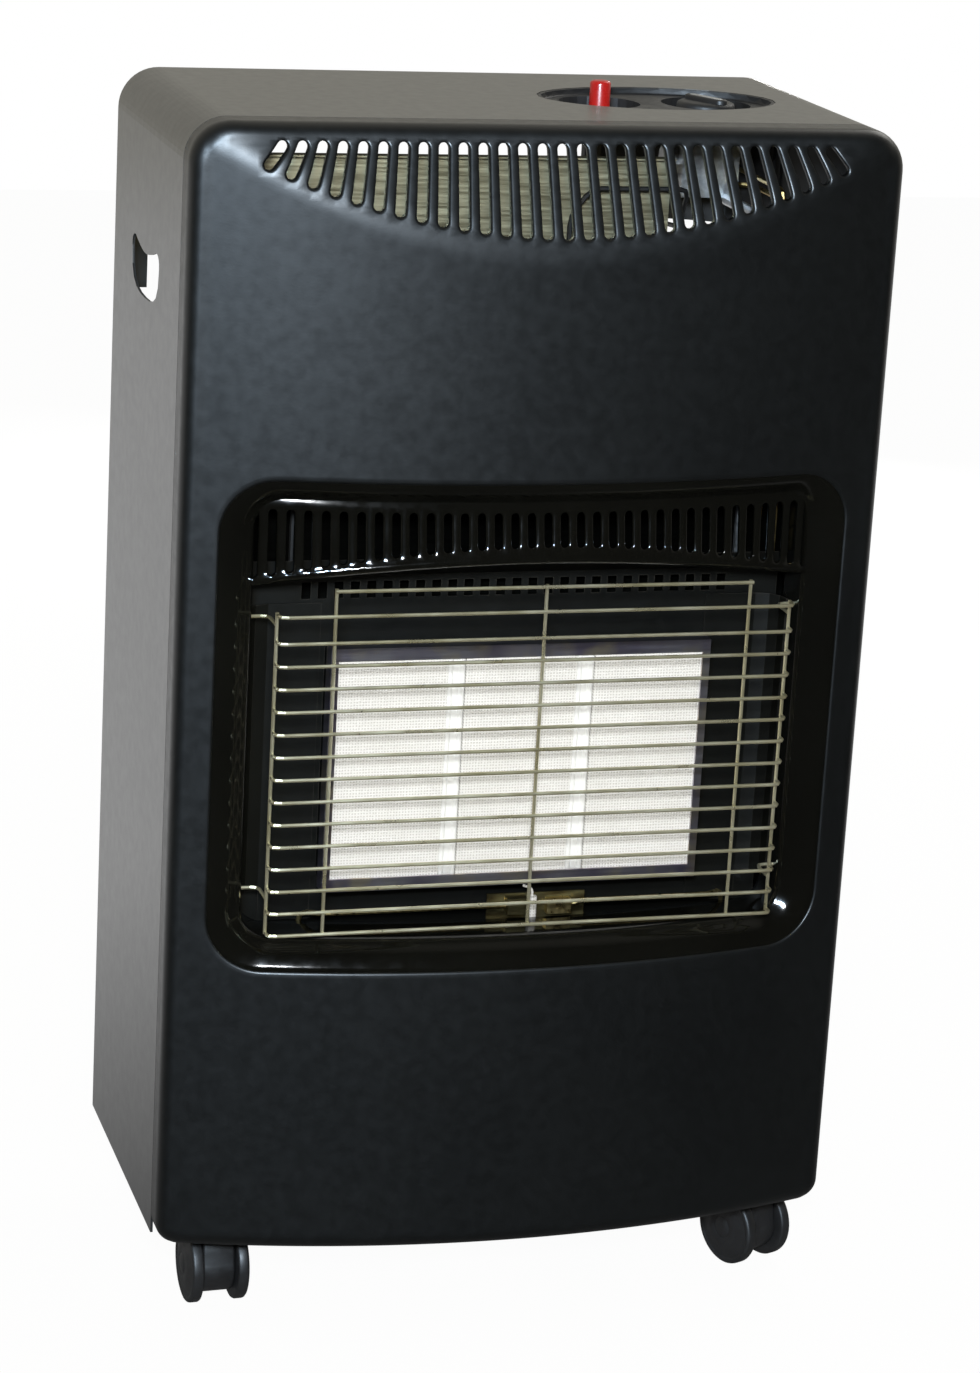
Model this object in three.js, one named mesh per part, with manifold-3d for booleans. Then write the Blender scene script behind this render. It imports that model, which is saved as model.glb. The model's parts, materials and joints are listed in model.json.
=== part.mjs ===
// A portable gas cabinet heater on four casters: a sheet cabinet with a bowed front, a gloss enamelled
// window bezel, a wire guard in front of three ceramic plaques, and a cylinder bay that slides out behind.
// Sizes are in millimetres. X points right, Y to the back, Z up; the origin is on the floor, under the
// middle of the cabinet. Heights of the front's features are measured from the side sheet's bottom edge.

import * as THREE from 'three';
import { mergeVertices } from 'three/addons/utils/BufferGeometryUtils.js';
import Module from 'manifold-3d';

const wasm = await Module();
wasm.setup();

// ------------------------------------------------------------------ driving sizes

const gap = 0.3; // between pieces that touch

// cabinet
const cabinetWidth = 420;
const sideHeight = 670;
const sideDepth = 195;
const faceBulge = 52; // how far the middle of the front stands before the side sheets
const faceSag = 31.9; // how far the bowed face falls back from its middle to its sides
const groundClearance = 52;
const sheet = 1.5;
const shellCornerRadius = 24;
const footCornerRadius = 13;
const faceEdgeRadius = 9;
const seamGap = 0.6;
const lapDepth = 14; // the front panel's flange inside the shell
const lapLead = 5; // and its root inside the panel

// scoop and louvres at the top of the front panel
const lipDepth = 26;
const lipDrop = 9;
const scoopDrop = 64;
const creaseBlend = 7;
const louvreCount = 29;
const louvrePitch = 12;
const louvreWidth = 6;
const louvreHeadDrop = 12.5;
const louvreMiddleDrop = 57;
const louvreEndDrop = 22.3;
const louvreLean = 0.955; // a slot's head lies this much nearer the middle than its foot

// hand holes
const handHoleLength = 81;
const handHoleHeight = 32;
const handHoleMiddle = 99; // behind the seam
const handHoleRise = 565;
const handHoleTab = 6; // the top edge dips by this

// window and bezel
const windowMargin = 22; // from the cabinet's side
const windowHeight = 293;
const windowRise = 177.5;
const windowCorner = 32;
const bezelSheet = 1.2;
const bezelFlange = 8;
const bezelRimSide = 18;
const bezelRimFoot = 14;
const bezelRimHead = 11;
const bezelRimDepth = 12;
const bezelWallDepth = 38;
const bezelWallCorner = 16;
const bezelTurn = 4; // depth of the bend between rim and wall
const bezelTurnIn = 3;
const bezelWallDraft = 2;
const browDrop = 48; // from the window's top to the middle of the brow
const browFall = 17;
const browDepth = 5;
const browLip = 10;
const ventCount = 35;
const ventMargin = 21.4; // from the window's side to the middle of the first slot
const ventWidth = 4.6;
const ventHeadDrop = 21;
const ventFootDrop = 36;
const ventFootFall = 21;

// guard
const guardWire = 2.2;
const guardInset = 33.3; // from the window's side to the guard's
const guardDepth = 41; // before the seam
const guardReturn = 8;
const guardRise = 24; // above the window's foot
const guardPitch = 13.54;
const guardRows = 14;
const guardTopGaps = [15.7, 14.8]; // up to the last full wire and the short one above it
const guardUprightSpacing = 124.5;
const guardUprightShift = 2.5;
const guardPegDepth = 12; // before the seam
const guardBend = 5;

// burner
const plaqueWidth = 68;
const plaqueHeight = 137;
const plaqueThickness = 13;
const plaqueCount = 3;
const spacerWidth = 10.4;
const plaqueDepth = 8; // before the seam
const plaqueRise = 44; // above the window's foot
const burnerSheet = 1;
const plenumDepth = 32;
const frameOverlap = 1.6;
const frameSheet = 1.4;
const frameRail = 4.5;
const inletCount = 3;
const inletPitch = 75;
const inletRadius = 5;

// chamber behind the bezel
const backplateDepth = 12; // behind the seam
const chamberInset = 25; // from the window's side
const trayInset = 38;
const trayReach = 16; // before the seam
const backplateMargin = 13; // above the vent holes
const ventHoleCount = 27;
const ventHoleWidth = 5.5;
const ventHoleHeight = 10;
const ventHoleRise = 389;

// heat shield
const shieldDepth = 31; // behind the seam
const shieldHeadDrop = 25; // below the cabinet's top
const shieldNotchInset = 10; // from the control oval's middle
const shieldNotchDrop = 77;

// controls in the top
const controlLength = 147;
const controlWidth = 94;
const controlMargin = 41.5; // from the cabinet's side
const controlDepth = 95; // behind the seam
const controlRecess = 4;
const controlFloor = 2.4;
const shroudFoot = 80; // below the cabinet's top, behind the valve
const shroudWall = 2;
const wellDepth = 103; // behind the seam
const igniterShift = -33; // from the oval's middle
const igniterWellRadius = 25;
const igniterWellDrop = 12;
const valveShift = 34;
const valveWellRadius = 27.5;
const valveWellDrop = 13;
const buttonRadius = 6.2;
const buttonProud = 9;
const buttonTravel = 5;
const knobRadius = 20;
const knobHeight = 13;
const knobTravel = 4;
const stemRadius = 4;

// gas train
const valveBody = [36, 34, 38];
const igniterRadius = 9;
const igniterLength = 46;
const manifoldRadius = 5;
const manifoldDepth = 20; // behind the seam
const manifoldDrop = 15; // below the plaques
const pipeRadius = 3.5;
const thinTubeRadius = 1.6;
const leadRadius = 1.5;
const nozzleLength = 42;
const nozzleDrop = 24; // below the well's floor
const hoseHoleRadius = 10;
const pilotDrop = 19; // below the plaques
const pilotForward = 10; // before the seam
const pilotX = 1;
const thermocoupleX = 32;
const electrodeX = 14;
const pilotTubeInset = 24; // from the tray's side
const thermocoupleInset = 10;
const leadHoleDepth = 5; // behind the seam
const riseDepth = 21; // where tubes and leads run up, between the burner and the shield
const leadCrossing = 8; // from the edge of the shield's notch
const leadHighDrop = 42; // below the cabinet's top
const leadTurnX = 22;
const leadLowDrop = 122;
const supplyRiseReach = 11; // from the valve's middle to the rising pipe
const thermocoupleRiseReach = 23;
const pilotRiseReach = 33;
const supplyDrop = 39; // below the well's floor
const thermocoupleDrop = 23;
const pilotTubeDrop = 33;

// cylinder bay
const bayClearance = 2; // behind the heat shield
const bayHeight = 495;
const baySheet = 1.2;
const runnerHeight = 26;
const runnerDepth = 6.7;
const runnerSheet = 1.5;
const runnerRise = 200;
const panRise = 3;
const panFlange = 20;
const panLength = 46;
const bayFloorFront = 62; // behind the seam
const returnFlange = 18;
const doorRise = 14;
const doorThickness = 6;
const doorSheet = 1.2;
const hingePinRadius = 1.8;
const knuckleWall = 1.2;
const doorSlotCount = 7;
const doorSlotPitch = 14;
const doorSlotHalf = 70;
const doorSlotRises = [110, 385]; // of the two groups' middles
const doorPullRise = 250;
const hingeHeights = [80, 420];
const hingeLength = 24;
const earHeight = 6;

// rear brace
const braceWidth = 18;
const braceFoot = 537;
const braceSheet = 1.5;

// casters
const wheelRadius = 24;
const wheelSegments = 18;
const wheelInner = 10.3;
const treadWidth = 7.5;
const wheelOuter = 21.5;
const axleRadius = 3;
const casterTrail = 20;
const hoodRadius = 18;
const hoodWidth = 19;
const neckClearance = 2.6; // under the cabinet
const casterStemRadius = 4.5;
const socketFlangeRadius = 11;
const socketRadius = 7;
const frontSocketHeight = 20;
const rearSocketHeight = 12;
const frontCasterInset = 41; // from the cabinet's side
const frontCasterDepth = 33; // behind the seam
const rearCasterInset = 90;
const rearCasterDepth = 146;
const casterTurns = { front_left: 2, front_right: 21.4, rear_left: 160, rear_right: 198 };

// ------------------------------------------------------------------ derived places

const halfWidth = cabinetWidth / 2;
const bowRadius = (halfWidth ** 2 + faceSag ** 2) / (2 * faceSag); // of the front, seen from above
const overallDepth = faceBulge + sideDepth;
const rearY = overallDepth / 2;
const seamY = rearY - sideDepth;
const bottomZ = groundClearance;
const topZ = bottomZ + sideHeight;
const shellInside = halfWidth - sheet;
const windowWidth = cabinetWidth - 2 * windowMargin;
const windowHalf = windowWidth / 2;
const ventPitch = (windowWidth - 2 * ventMargin) / (ventCount - 1);
const guardHalfWidth = windowHalf - guardInset;
const chamberHalfWidth = windowHalf - chamberInset;
const trayHalfWidth = windowHalf - trayInset;
const windowLow = bottomZ + windowRise;
const windowHigh = windowLow + windowHeight;
const plaqueRow = plaqueCount * plaqueWidth + (plaqueCount - 1) * spacerWidth + 2 * (plaqueCount - 1) * gap;
const plaqueLow = windowLow + plaqueRise;
const plaqueHigh = plaqueLow + plaqueHeight;
const plaqueFrontY = seamY - plaqueDepth;
const plenumHalf = plaqueRow / 2 + gap + burnerSheet;
const plenumLow = plaqueLow - gap - burnerSheet;
const plenumHigh = plaqueHigh + gap + burnerSheet;
const plenumFrontY = plaqueFrontY + 1;
const plenumRearY = plenumFrontY + plenumDepth;
const controlX = halfWidth - controlMargin - controlLength / 2;
const backplateY = seamY + backplateDepth;
const backplateHigh = bottomZ + ventHoleRise + ventHoleHeight + backplateMargin;
const shieldY = seamY + shieldDepth;
const shieldHigh = topZ - shieldHeadDrop;
const notchX = controlX - shieldNotchInset;
const trayTop = windowLow + bezelRimFoot + 2 - bezelSheet - gap;
const manifoldY = seamY + manifoldDepth;
const manifoldZ = plaqueLow - manifoldDrop;
const controlCentreY = seamY + controlDepth;
const igniterX = controlX + igniterShift;
const valveX = controlX + valveShift;
const wellY = seamY + wellDepth;
const controlTopZ = topZ - controlRecess;
const controlUnderZ = topZ - sheet - gap;
const panTopZ = bottomZ + panRise + sheet;
const bayFloorZ = bottomZ + 0.8;
const bayOuterX = shellInside - gap - runnerDepth - gap - 0.7;
const bayRearY = rearY - doorThickness - 1;
const bayFrontY = shieldY + burnerSheet + bayClearance;
const bayTopZ = bottomZ + bayHeight;
const neckHeight = groundClearance - neckClearance;
const frontCasterX = halfWidth - frontCasterInset;
const rearCasterX = halfWidth - rearCasterInset;

// ------------------------------------------------------------------ materials

function material(color, roughness, metalness) {
  return new THREE.MeshStandardMaterial({ color, roughness, metalness });
}

const satinBlack = material('#23272b', 0.45, 0.2);
const enamelBlack = material('#0a0b0c', 0.12, 0.1);
const darkSteel = material('#1d1f20', 0.6, 0.5);
const wireSteel = material('#b9b08a', 0.25, 1);
const tintedSteel = material('#6d6470', 0.3, 1);
const platedSteel = material('#b8b48c', 0.4, 0.9);
const zincSteel = material('#9da2a6', 0.45, 0.9);
const ceramicWhite = material('#efede6', 0.9, 0);
const brass = material('#b2954a', 0.35, 1);
const aluminium = material('#b9bcbf', 0.4, 1);
const plasticBlack = material('#16181a', 0.5, 0);
const buttonRed = material('#c01417', 0.35, 0);

// ------------------------------------------------------------------ solids

function toSolid(geometry) {
  const bare = geometry.clone();
  bare.deleteAttribute('normal');
  bare.deleteAttribute('uv');
  const merged = mergeVertices(bare, 1e-4);
  const mesh = new wasm.Mesh({
    numProp: 3,
    vertProperties: merged.attributes.position.array,
    triVerts: merged.index.array,
  });
  return new wasm.Manifold(mesh);
}

function toGeometry(solid) {
  const mesh = solid.getMesh();
  const geometry = new THREE.BufferGeometry();
  geometry.setAttribute('position', new THREE.BufferAttribute(mesh.vertProperties, 3));
  geometry.setIndex(new THREE.BufferAttribute(mesh.triVerts, 1));
  geometry.computeVertexNormals();
  return geometry;
}

function union(solids) {
  return solids.reduce((whole, piece) => whole.add(piece));
}

function cut(solid, cutters) {
  return solid.subtract(union(cutters));
}

function box(x0, x1, y0, y1, z0, z1) {
  const geometry = new THREE.BoxGeometry(x1 - x0, y1 - y0, z1 - z0);
  geometry.translate((x0 + x1) / 2, (y0 + y1) / 2, (z0 + z1) / 2);
  return toSolid(geometry);
}

function rod(from, to, radius, segments = 16, endRadius = radius) {
  const start = new THREE.Vector3(...from);
  const along = new THREE.Vector3(...to).sub(start);
  const geometry = new THREE.CylinderGeometry(endRadius, radius, along.length(), segments);
  geometry.translate(0, along.length() / 2, 0);
  geometry.applyQuaternion(new THREE.Quaternion().setFromUnitVectors(new THREE.Vector3(0, 1, 0), along.normalize()));
  geometry.translate(...from);
  return toSolid(geometry);
}

// a flat shape drawn in X and Z, given a thickness in Y
function prismY(shape, y0, y1, curveSegments = 6) {
  const geometry = new THREE.ExtrudeGeometry(shape, { depth: y1 - y0, bevelEnabled: false, curveSegments });
  geometry.rotateX(Math.PI / 2);
  geometry.translate(0, y1, 0);
  return toSolid(geometry);
}

// a flat shape drawn in Y and Z, given a thickness in X
function prismX(shape, x0, x1, curveSegments = 6) {
  const geometry = new THREE.ExtrudeGeometry(shape, { depth: x1 - x0, bevelEnabled: false, curveSegments });
  const turn = new THREE.Matrix4().makeBasis(
    new THREE.Vector3(0, 1, 0),
    new THREE.Vector3(0, 0, 1),
    new THREE.Vector3(1, 0, 0),
  );
  geometry.applyMatrix4(turn);
  geometry.translate(x0, 0, 0);
  return toSolid(geometry);
}

// a flat shape drawn in X and Y, given a thickness in Z
function prismZ(shape, z0, z1, curveSegments = 6) {
  const geometry = new THREE.ExtrudeGeometry(shape, { depth: z1 - z0, bevelEnabled: false, curveSegments });
  geometry.translate(0, 0, z0);
  return toSolid(geometry);
}

function outline(points) {
  return new THREE.Shape(points.map(([a, b]) => new THREE.Vector2(a, b)));
}

function oval(x, y, length, width, inset) {
  const shape = new THREE.Shape();
  shape.absellipse(x, y, length / 2 - inset, width / 2 - inset, 0, 2 * Math.PI, false, 0);
  return shape;
}

function roundedRectangle(half, low, high, lowRadius, highRadius = lowRadius) {
  const shape = new THREE.Shape();
  shape.moveTo(-half + lowRadius, low);
  shape.lineTo(half - lowRadius, low);
  shape.absarc(half - lowRadius, low + lowRadius, lowRadius, -Math.PI / 2, 0, false);
  shape.lineTo(half, high - highRadius);
  shape.absarc(half - highRadius, high - highRadius, highRadius, 0, Math.PI / 2, false);
  shape.lineTo(-half + highRadius, high);
  shape.absarc(-half + highRadius, high - highRadius, highRadius, Math.PI / 2, Math.PI, false);
  shape.lineTo(-half, low + lowRadius);
  shape.absarc(-half + lowRadius, low + lowRadius, lowRadius, Math.PI, 1.5 * Math.PI, false);
  return shape;
}

// a slot with round ends between two points of a flat shape
function slotShape(from, to, width) {
  const along = Math.atan2(to[1] - from[1], to[0] - from[0]);
  const shape = new THREE.Shape();
  shape.absarc(to[0], to[1], width / 2, along - Math.PI / 2, along + Math.PI / 2, false);
  shape.absarc(from[0], from[1], width / 2, along + Math.PI / 2, along + 1.5 * Math.PI, false);
  return shape;
}

// joins rings of equally many points into one closed body, either end to end or with flat ends
function skin(rings, looped) {
  const count = rings[0].length;
  const triangles = [];
  const joins = looped ? rings.length : rings.length - 1;
  for (let ring = 0; ring < joins; ring += 1) {
    const here = ring * count;
    const there = ((ring + 1) % rings.length) * count;
    for (let i = 0; i < count; i += 1) {
      const next = (i + 1) % count;
      triangles.push(here + i, here + next, there + next);
      triangles.push(here + i, there + next, there + i);
    }
  }
  if (!looped) {
    const flat = rings[0].map((point) => new THREE.Vector2(point.y, point.z));
    const facing = THREE.ShapeUtils.isClockWise(flat) ? 1 : -1;
    const lastRing = (rings.length - 1) * count;
    for (const [a, b, c] of THREE.ShapeUtils.triangulateShape(flat, [])) {
      const turned = facing > 0 ? [a, b, c] : [a, c, b];
      triangles.push(...turned);
      triangles.push(lastRing + turned[0], lastRing + turned[2], lastRing + turned[1]);
    }
  }
  const points = rings.flat();
  let volume = 0;
  for (let i = 0; i < triangles.length; i += 3) {
    const [a, b, c] = [points[triangles[i]], points[triangles[i + 1]], points[triangles[i + 2]]];
    volume += a.dot(b.clone().cross(c));
  }
  const geometry = new THREE.BufferGeometry();
  const positions = points.flatMap((point) => point.toArray());
  geometry.setAttribute('position', new THREE.BufferAttribute(new Float32Array(positions), 3));
  geometry.setIndex(volume > 0 ? triangles : triangles.reverse());
  return toSolid(geometry);
}

// a bent route: straight runs with rounded corners
class Route extends THREE.Curve {
  constructor(corners, bend) {
    super();
    const knots = corners.map((corner) => new THREE.Vector3(...corner));
    this.points = [knots[0]];
    for (let i = 1; i < knots.length - 1; i += 1) {
      const corner = knots[i];
      const before = knots[i - 1].clone().sub(corner);
      const after = knots[i + 1].clone().sub(corner);
      const start = before.clone().setLength(Math.min(bend, before.length() * 0.45)).add(corner);
      const end = after.clone().setLength(Math.min(bend, after.length() * 0.45)).add(corner);
      const turn = new THREE.QuadraticBezierCurve3(start, corner, end);
      this.points.push(...turn.getPoints(2));
    }
    this.points.push(knots[knots.length - 1]);
  }

  getPoint(t, target = new THREE.Vector3()) {
    const last = this.points.length - 1;
    const at = Math.min(Math.floor(t * last + 1e-6), last - 1);
    return target.lerpVectors(this.points[at], this.points[at + 1], t * last - at);
  }

  getPointAt(t, target) {
    return this.getPoint(t, target);
  }

  getTangentAt(t, target = new THREE.Vector3()) {
    const last = this.points.length - 1;
    const at = Math.round(t * last);
    const before = this.points[Math.max(at - 1, 0)];
    const after = this.points[Math.min(at + 1, last)];
    const here = this.points[at];
    const arriving = here.clone().sub(before).normalize();
    const leaving = after.clone().sub(here).normalize();
    return target.copy(arriving).add(leaving).normalize();
  }
}

function tube(corners, radius, bend, sides = 8) {
  const route = new Route(corners, bend);
  const section = new THREE.Shape();
  for (let i = 0; i < sides; i += 1) {
    const angle = (2 * Math.PI * (i + 0.5)) / sides;
    const point = [radius * Math.cos(angle), radius * Math.sin(angle)];
    if (i === 0) section.moveTo(...point);
    else section.lineTo(...point);
  }
  section.closePath();
  const steps = route.points.length - 1;
  return toSolid(new THREE.ExtrudeGeometry(section, { steps, bevelEnabled: false, extrudePath: route }));
}

// ------------------------------------------------------------------ the bowed front

function faceY(x) {
  return seamY - faceBulge + bowRadius - Math.sqrt(bowRadius ** 2 - x ** 2);
}

// how far a rounded corner has fallen back, at a distance from the side
function cornerDrop(distance, radius) {
  if (distance >= radius) return 0;
  return radius - Math.sqrt(Math.max(radius ** 2 - (radius - distance) ** 2, 0));
}

function evenly(from, to, steps) {
  return Array.from({ length: steps + 1 }, (_, i) => from + ((to - from) * i) / steps);
}

function middled(count, pitch) {
  return Array.from({ length: count }, (_, i) => (i - (count - 1) / 2) * pitch);
}

function panelSection(x, inset, backY) {
  const radius = faceEdgeRadius - inset;
  const side = halfWidth - inset - Math.abs(x);
  const low = bottomZ + inset + cornerDrop(side, footCornerRadius - inset);
  const high = topZ - inset - cornerDrop(side, shellCornerRadius - inset);
  const front = faceY(Math.min(Math.abs(x), halfWidth - faceEdgeRadius)) + inset + cornerDrop(side, radius);
  const slope = (faceBulge - lipDepth) / (scoopDrop - lipDrop);
  const lipZ = topZ - lipDrop;
  const scoopHead = seamY - lipDepth + inset * Math.hypot(1, slope);
  const frontAt = (z) => Math.max(front, scoopHead - slope * (lipZ - z));
  const head = high - radius;
  const crease = Math.min(lipZ - (scoopHead - front) / slope, head - creaseBlend - 1);
  const below = frontAt(crease - creaseBlend);
  const above = frontAt(crease + creaseBlend);
  const eased = 0.25 * below + 0.5 * frontAt(crease) + 0.25 * above;
  const lip = frontAt(head);
  const softened = radius * (1 - Math.SQRT1_2);
  const section = [
    [backY, low],
    [front + radius, low],
    [front + softened, low + softened],
    [front, low + radius],
    [below, crease - creaseBlend],
    [eased, crease],
    [above, crease + creaseBlend],
    [lip, head],
    [lip + softened, high - softened],
    [lip + radius, high],
    [backY, high],
  ];
  return section.map(([y, z]) => new THREE.Vector3(x, y, z));
}

function panelBody(inset, backY) {
  const half = halfWidth - inset;
  const rounding = [0, 1, 3.5, faceEdgeRadius, footCornerRadius, shellCornerRadius * 0.75];
  const left = rounding.map((distance) => distance - half);
  const right = rounding.map((distance) => half - distance).reverse();
  const middle = evenly(-half + shellCornerRadius, half - shellCornerRadius, 12);
  return skin([...left, ...middle, ...right].map((x) => panelSection(x, inset, backY)), false);
}

function windowShape(inset) {
  return roundedRectangle(windowHalf - inset, windowLow + inset, windowHigh - inset, windowCorner - inset);
}

function makeFrontPanel() {
  const backY = seamY - seamGap;
  const louvres = middled(louvreCount, louvrePitch).map((x) => {
    const share = (x / (louvrePitch * (louvreCount - 1) / 2)) ** 2;
    const foot = topZ - louvreMiddleDrop + (louvreMiddleDrop - louvreEndDrop) * share;
    const shape = slotShape([x * louvreLean, topZ - louvreHeadDrop], [x, foot], louvreWidth);
    return prismY(shape, seamY - faceBulge - sheet, backY - lapLead, 2);
  });
  const opening = prismY(windowShape(0), seamY - faceBulge - sheet, backY - lapLead, 5);
  const hollow = panelBody(sheet, seamY + sheet);
  const lapShape = (inset) => roundedRectangle(
    halfWidth - inset,
    bottomZ + inset,
    topZ - inset,
    footCornerRadius - inset,
    shellCornerRadius - inset,
  );
  const lapInset = sheet + gap;
  const lapInside = prismY(lapShape(lapInset + sheet), seamY - lapLead - 1, seamY + lapDepth + 1, 5);
  const lapRoot = prismY(lapShape(lapInset - 0.6), seamY - lapLead, backY, 5);
  const lap = prismY(lapShape(lapInset), seamY - lapLead, seamY + lapDepth, 5);
  const skinned = panelBody(0, backY).subtract(hollow);
  return cut(skinned.add(lap.add(lapRoot).subtract(lapInside)), [...louvres, opening]);
}

// ------------------------------------------------------------------ bezel

function bezelRing({ side, foot, head, radius, depth }) {
  const half = windowHalf - side;
  const low = windowLow + foot;
  const high = windowHigh - head;
  const corners = [
    [half - radius, high - radius, 0],
    [radius - half, high - radius, 1],
    [radius - half, low + radius, 2],
    [half - radius, low + radius, 3],
  ];
  const ring = [];
  for (const [x, z, quarter] of corners) {
    for (const turn of evenly(0, 1, 4)) {
      const angle = ((quarter + turn) * Math.PI) / 2;
      ring.push([x + radius * Math.cos(angle), z + radius * Math.sin(angle)]);
    }
    if (quarter % 2 === 0) {
      const run = half - radius;
      const direction = quarter === 0 ? 1 : -1;
      const level = quarter === 0 ? high : low;
      for (const share of evenly(1, -1, 10).slice(1, -1)) ring.push([direction * share * run, level]);
    }
  }
  return ring.map(([x, z]) => new THREE.Vector3(x, faceY(x) + depth, z));
}

const bezelFront = [
  {
    side: -bezelFlange,
    foot: -bezelFlange,
    head: -bezelFlange,
    radius: windowCorner + bezelFlange,
    depth: sheet + 0.4,
    out: 0,
    back: 1,
  },
  { side: 0, foot: 0, head: 0, radius: windowCorner, depth: sheet + 0.4, out: 0, back: 1 },
  { side: 4, foot: 3, head: 3, radius: windowCorner - 4, depth: sheet + 1.4, out: 0.4, back: 1 },
  {
    side: bezelRimSide,
    foot: bezelRimFoot,
    head: bezelRimHead,
    radius: 20,
    depth: bezelRimDepth,
    out: 0.7,
    back: 0.8,
  },
  {
    side: bezelRimSide + bezelTurnIn,
    foot: bezelRimFoot + 2,
    head: bezelRimHead + 2,
    radius: 17,
    depth: bezelRimDepth + bezelTurn,
    out: 1,
    back: 0.2,
  },
  {
    side: bezelRimSide + bezelTurnIn + bezelWallDraft,
    foot: bezelRimFoot + 3,
    head: bezelRimHead + 3,
    radius: bezelWallCorner,
    depth: bezelWallDepth,
    out: 1,
    back: 0,
  },
];

function browZ(x) {
  return windowHigh - browDrop - browFall * (x / (windowHalf - bezelRimSide)) ** 2;
}

function browSection(x) {
  const share = Math.min(Math.abs(x) / (windowHalf - bezelRimSide), 1) ** 4;
  const face = faceY(x);
  const proud = face + browDepth + (bezelRimDepth - browDepth) * share;
  const deep = face + bezelRimDepth + 0.2;
  const head = windowHigh - bezelRimHead + 0.5;
  const brow = browZ(x);
  const section = [
    [deep, head],
    [proud, brow + 4],
    [proud + 1.5, brow + 1],
    [proud + 3, brow],
    [proud + browLip, brow],
    [proud + browLip, brow + bezelSheet],
    [proud + 3.4, brow + bezelSheet],
    [proud + bezelSheet, brow + 4.4],
    [deep + bezelSheet, head],
  ];
  return section.map(([y, z]) => new THREE.Vector3(x, y, z));
}

function makeBezel() {
  const hidden = bezelFront.map((station) => ({
    side: station.side - bezelSheet * station.out,
    foot: station.foot - bezelSheet * station.out,
    head: station.head - bezelSheet * station.out,
    radius: station.radius + bezelSheet * station.out,
    depth: station.depth + bezelSheet * station.back,
  })).reverse();
  const rim = skin([...bezelFront, ...hidden].map(bezelRing), true);
  const browHalf = windowHalf - 5;
  const brow = skin(evenly(-browHalf, browHalf, 14).map(browSection), false);
  const vents = middled(ventCount, ventPitch).map((x) => {
    const share = (x / (ventPitch * (ventCount - 1) / 2)) ** 2;
    const foot = windowHigh - ventFootDrop - ventFootFall * share;
    const half = ventWidth / 2;
    return box(x - half, x + half, seamY - faceBulge, seamY - 10, foot - half, windowHigh - ventHeadDrop + half);
  });
  return cut(brow, vents).add(rim);
}

// ------------------------------------------------------------------ guard

const guardFootZ = windowLow + guardRise;
const guardFrontY = seamY - guardDepth;
const guardRearY = guardFrontY + guardReturn;
const guardRadius = guardWire / 2;

function guardLevels() {
  const levels = Array.from({ length: guardRows }, (_, i) => guardFootZ + i * guardPitch);
  return [...levels, levels[guardRows - 1] + guardTopGaps[0]];
}

function makeGuard() {
  const levels = guardLevels();
  const topLevel = levels[guardRows] + guardTopGaps[1];
  const returnY = guardRearY - guardRadius - gap;
  const wires = levels.map((z) => tube([
    [-guardHalfWidth, returnY, z],
    [-guardHalfWidth, guardFrontY, z],
    [guardHalfWidth, guardFrontY, z],
    [guardHalfWidth, returnY, z],
  ], guardRadius, guardBend, 6));
  const shortHalf = guardUprightSpacing + guardRadius;
  wires.push(tube([
    [guardUprightShift - shortHalf, guardFrontY, topLevel],
    [guardUprightShift + shortHalf, guardFrontY, topLevel],
  ], guardRadius, guardBend, 6));
  const uprightY = guardFrontY + guardWire * 0.8;
  for (const offset of middled(3, guardUprightSpacing)) {
    const x = offset + guardUprightShift;
    const ends = [guardFootZ - guardRadius, topLevel + guardRadius];
    wires.push(tube(ends.map((z) => [x, uprightY, z]), guardRadius, guardBend, 6));
  }
  return union(wires);
}

// the guard's side upright, with two pegs that spring into the bezel's wall
function makeGuardHanger(side) {
  const levels = guardLevels();
  const high = levels[guardRows];
  const rimEnd = bezelRimDepth + bezelTurn;
  const pegDepth = seamY - guardPegDepth - faceY(windowHalf - bezelRimSide);
  const wallShare = (pegDepth - rimEnd) / (bezelWallDepth - rimEnd);
  const pegReach = windowHalf - bezelRimSide - bezelTurnIn - bezelWallDraft * wallShare - gap - 0.1;
  const ends = [guardFootZ - guardRadius, high + guardRadius];
  const upright = tube(ends.map((z) => [guardHalfWidth, guardRearY, z]), guardRadius, guardBend, 6);
  const pegs = [guardFootZ + 1.5 * guardPitch, high - guardPitch / 2].map((z) => tube([
    [guardHalfWidth, guardRearY, z],
    [guardHalfWidth, seamY - guardPegDepth, z],
    [pegReach, seamY - guardPegDepth, z],
  ], guardRadius, guardBend, 6));
  return mirrored(union([upright, ...pegs]), side);
}

// ------------------------------------------------------------------ shell and base

function handHoleShape() {
  const low = bottomZ + handHoleRise - handHoleHeight / 2;
  const high = low + handHoleHeight;
  const middle = seamY + handHoleMiddle;
  const reach = handHoleLength / 2;
  const shape = new THREE.Shape();
  shape.moveTo(middle - reach, high - 8);
  shape.bezierCurveTo(middle - reach, low + 2, middle - 24, low, middle, low);
  shape.bezierCurveTo(middle + 24, low, middle + reach, low + 2, middle + reach, high - 8);
  shape.quadraticCurveTo(middle + reach, high, middle + reach - 10, high);
  shape.quadraticCurveTo(middle + 12, high - handHoleTab, middle, high - handHoleTab);
  shape.quadraticCurveTo(middle - 12, high - handHoleTab, middle - reach + 10, high);
  shape.quadraticCurveTo(middle - reach, high, middle - reach, high - 8);
  return shape;
}

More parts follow.
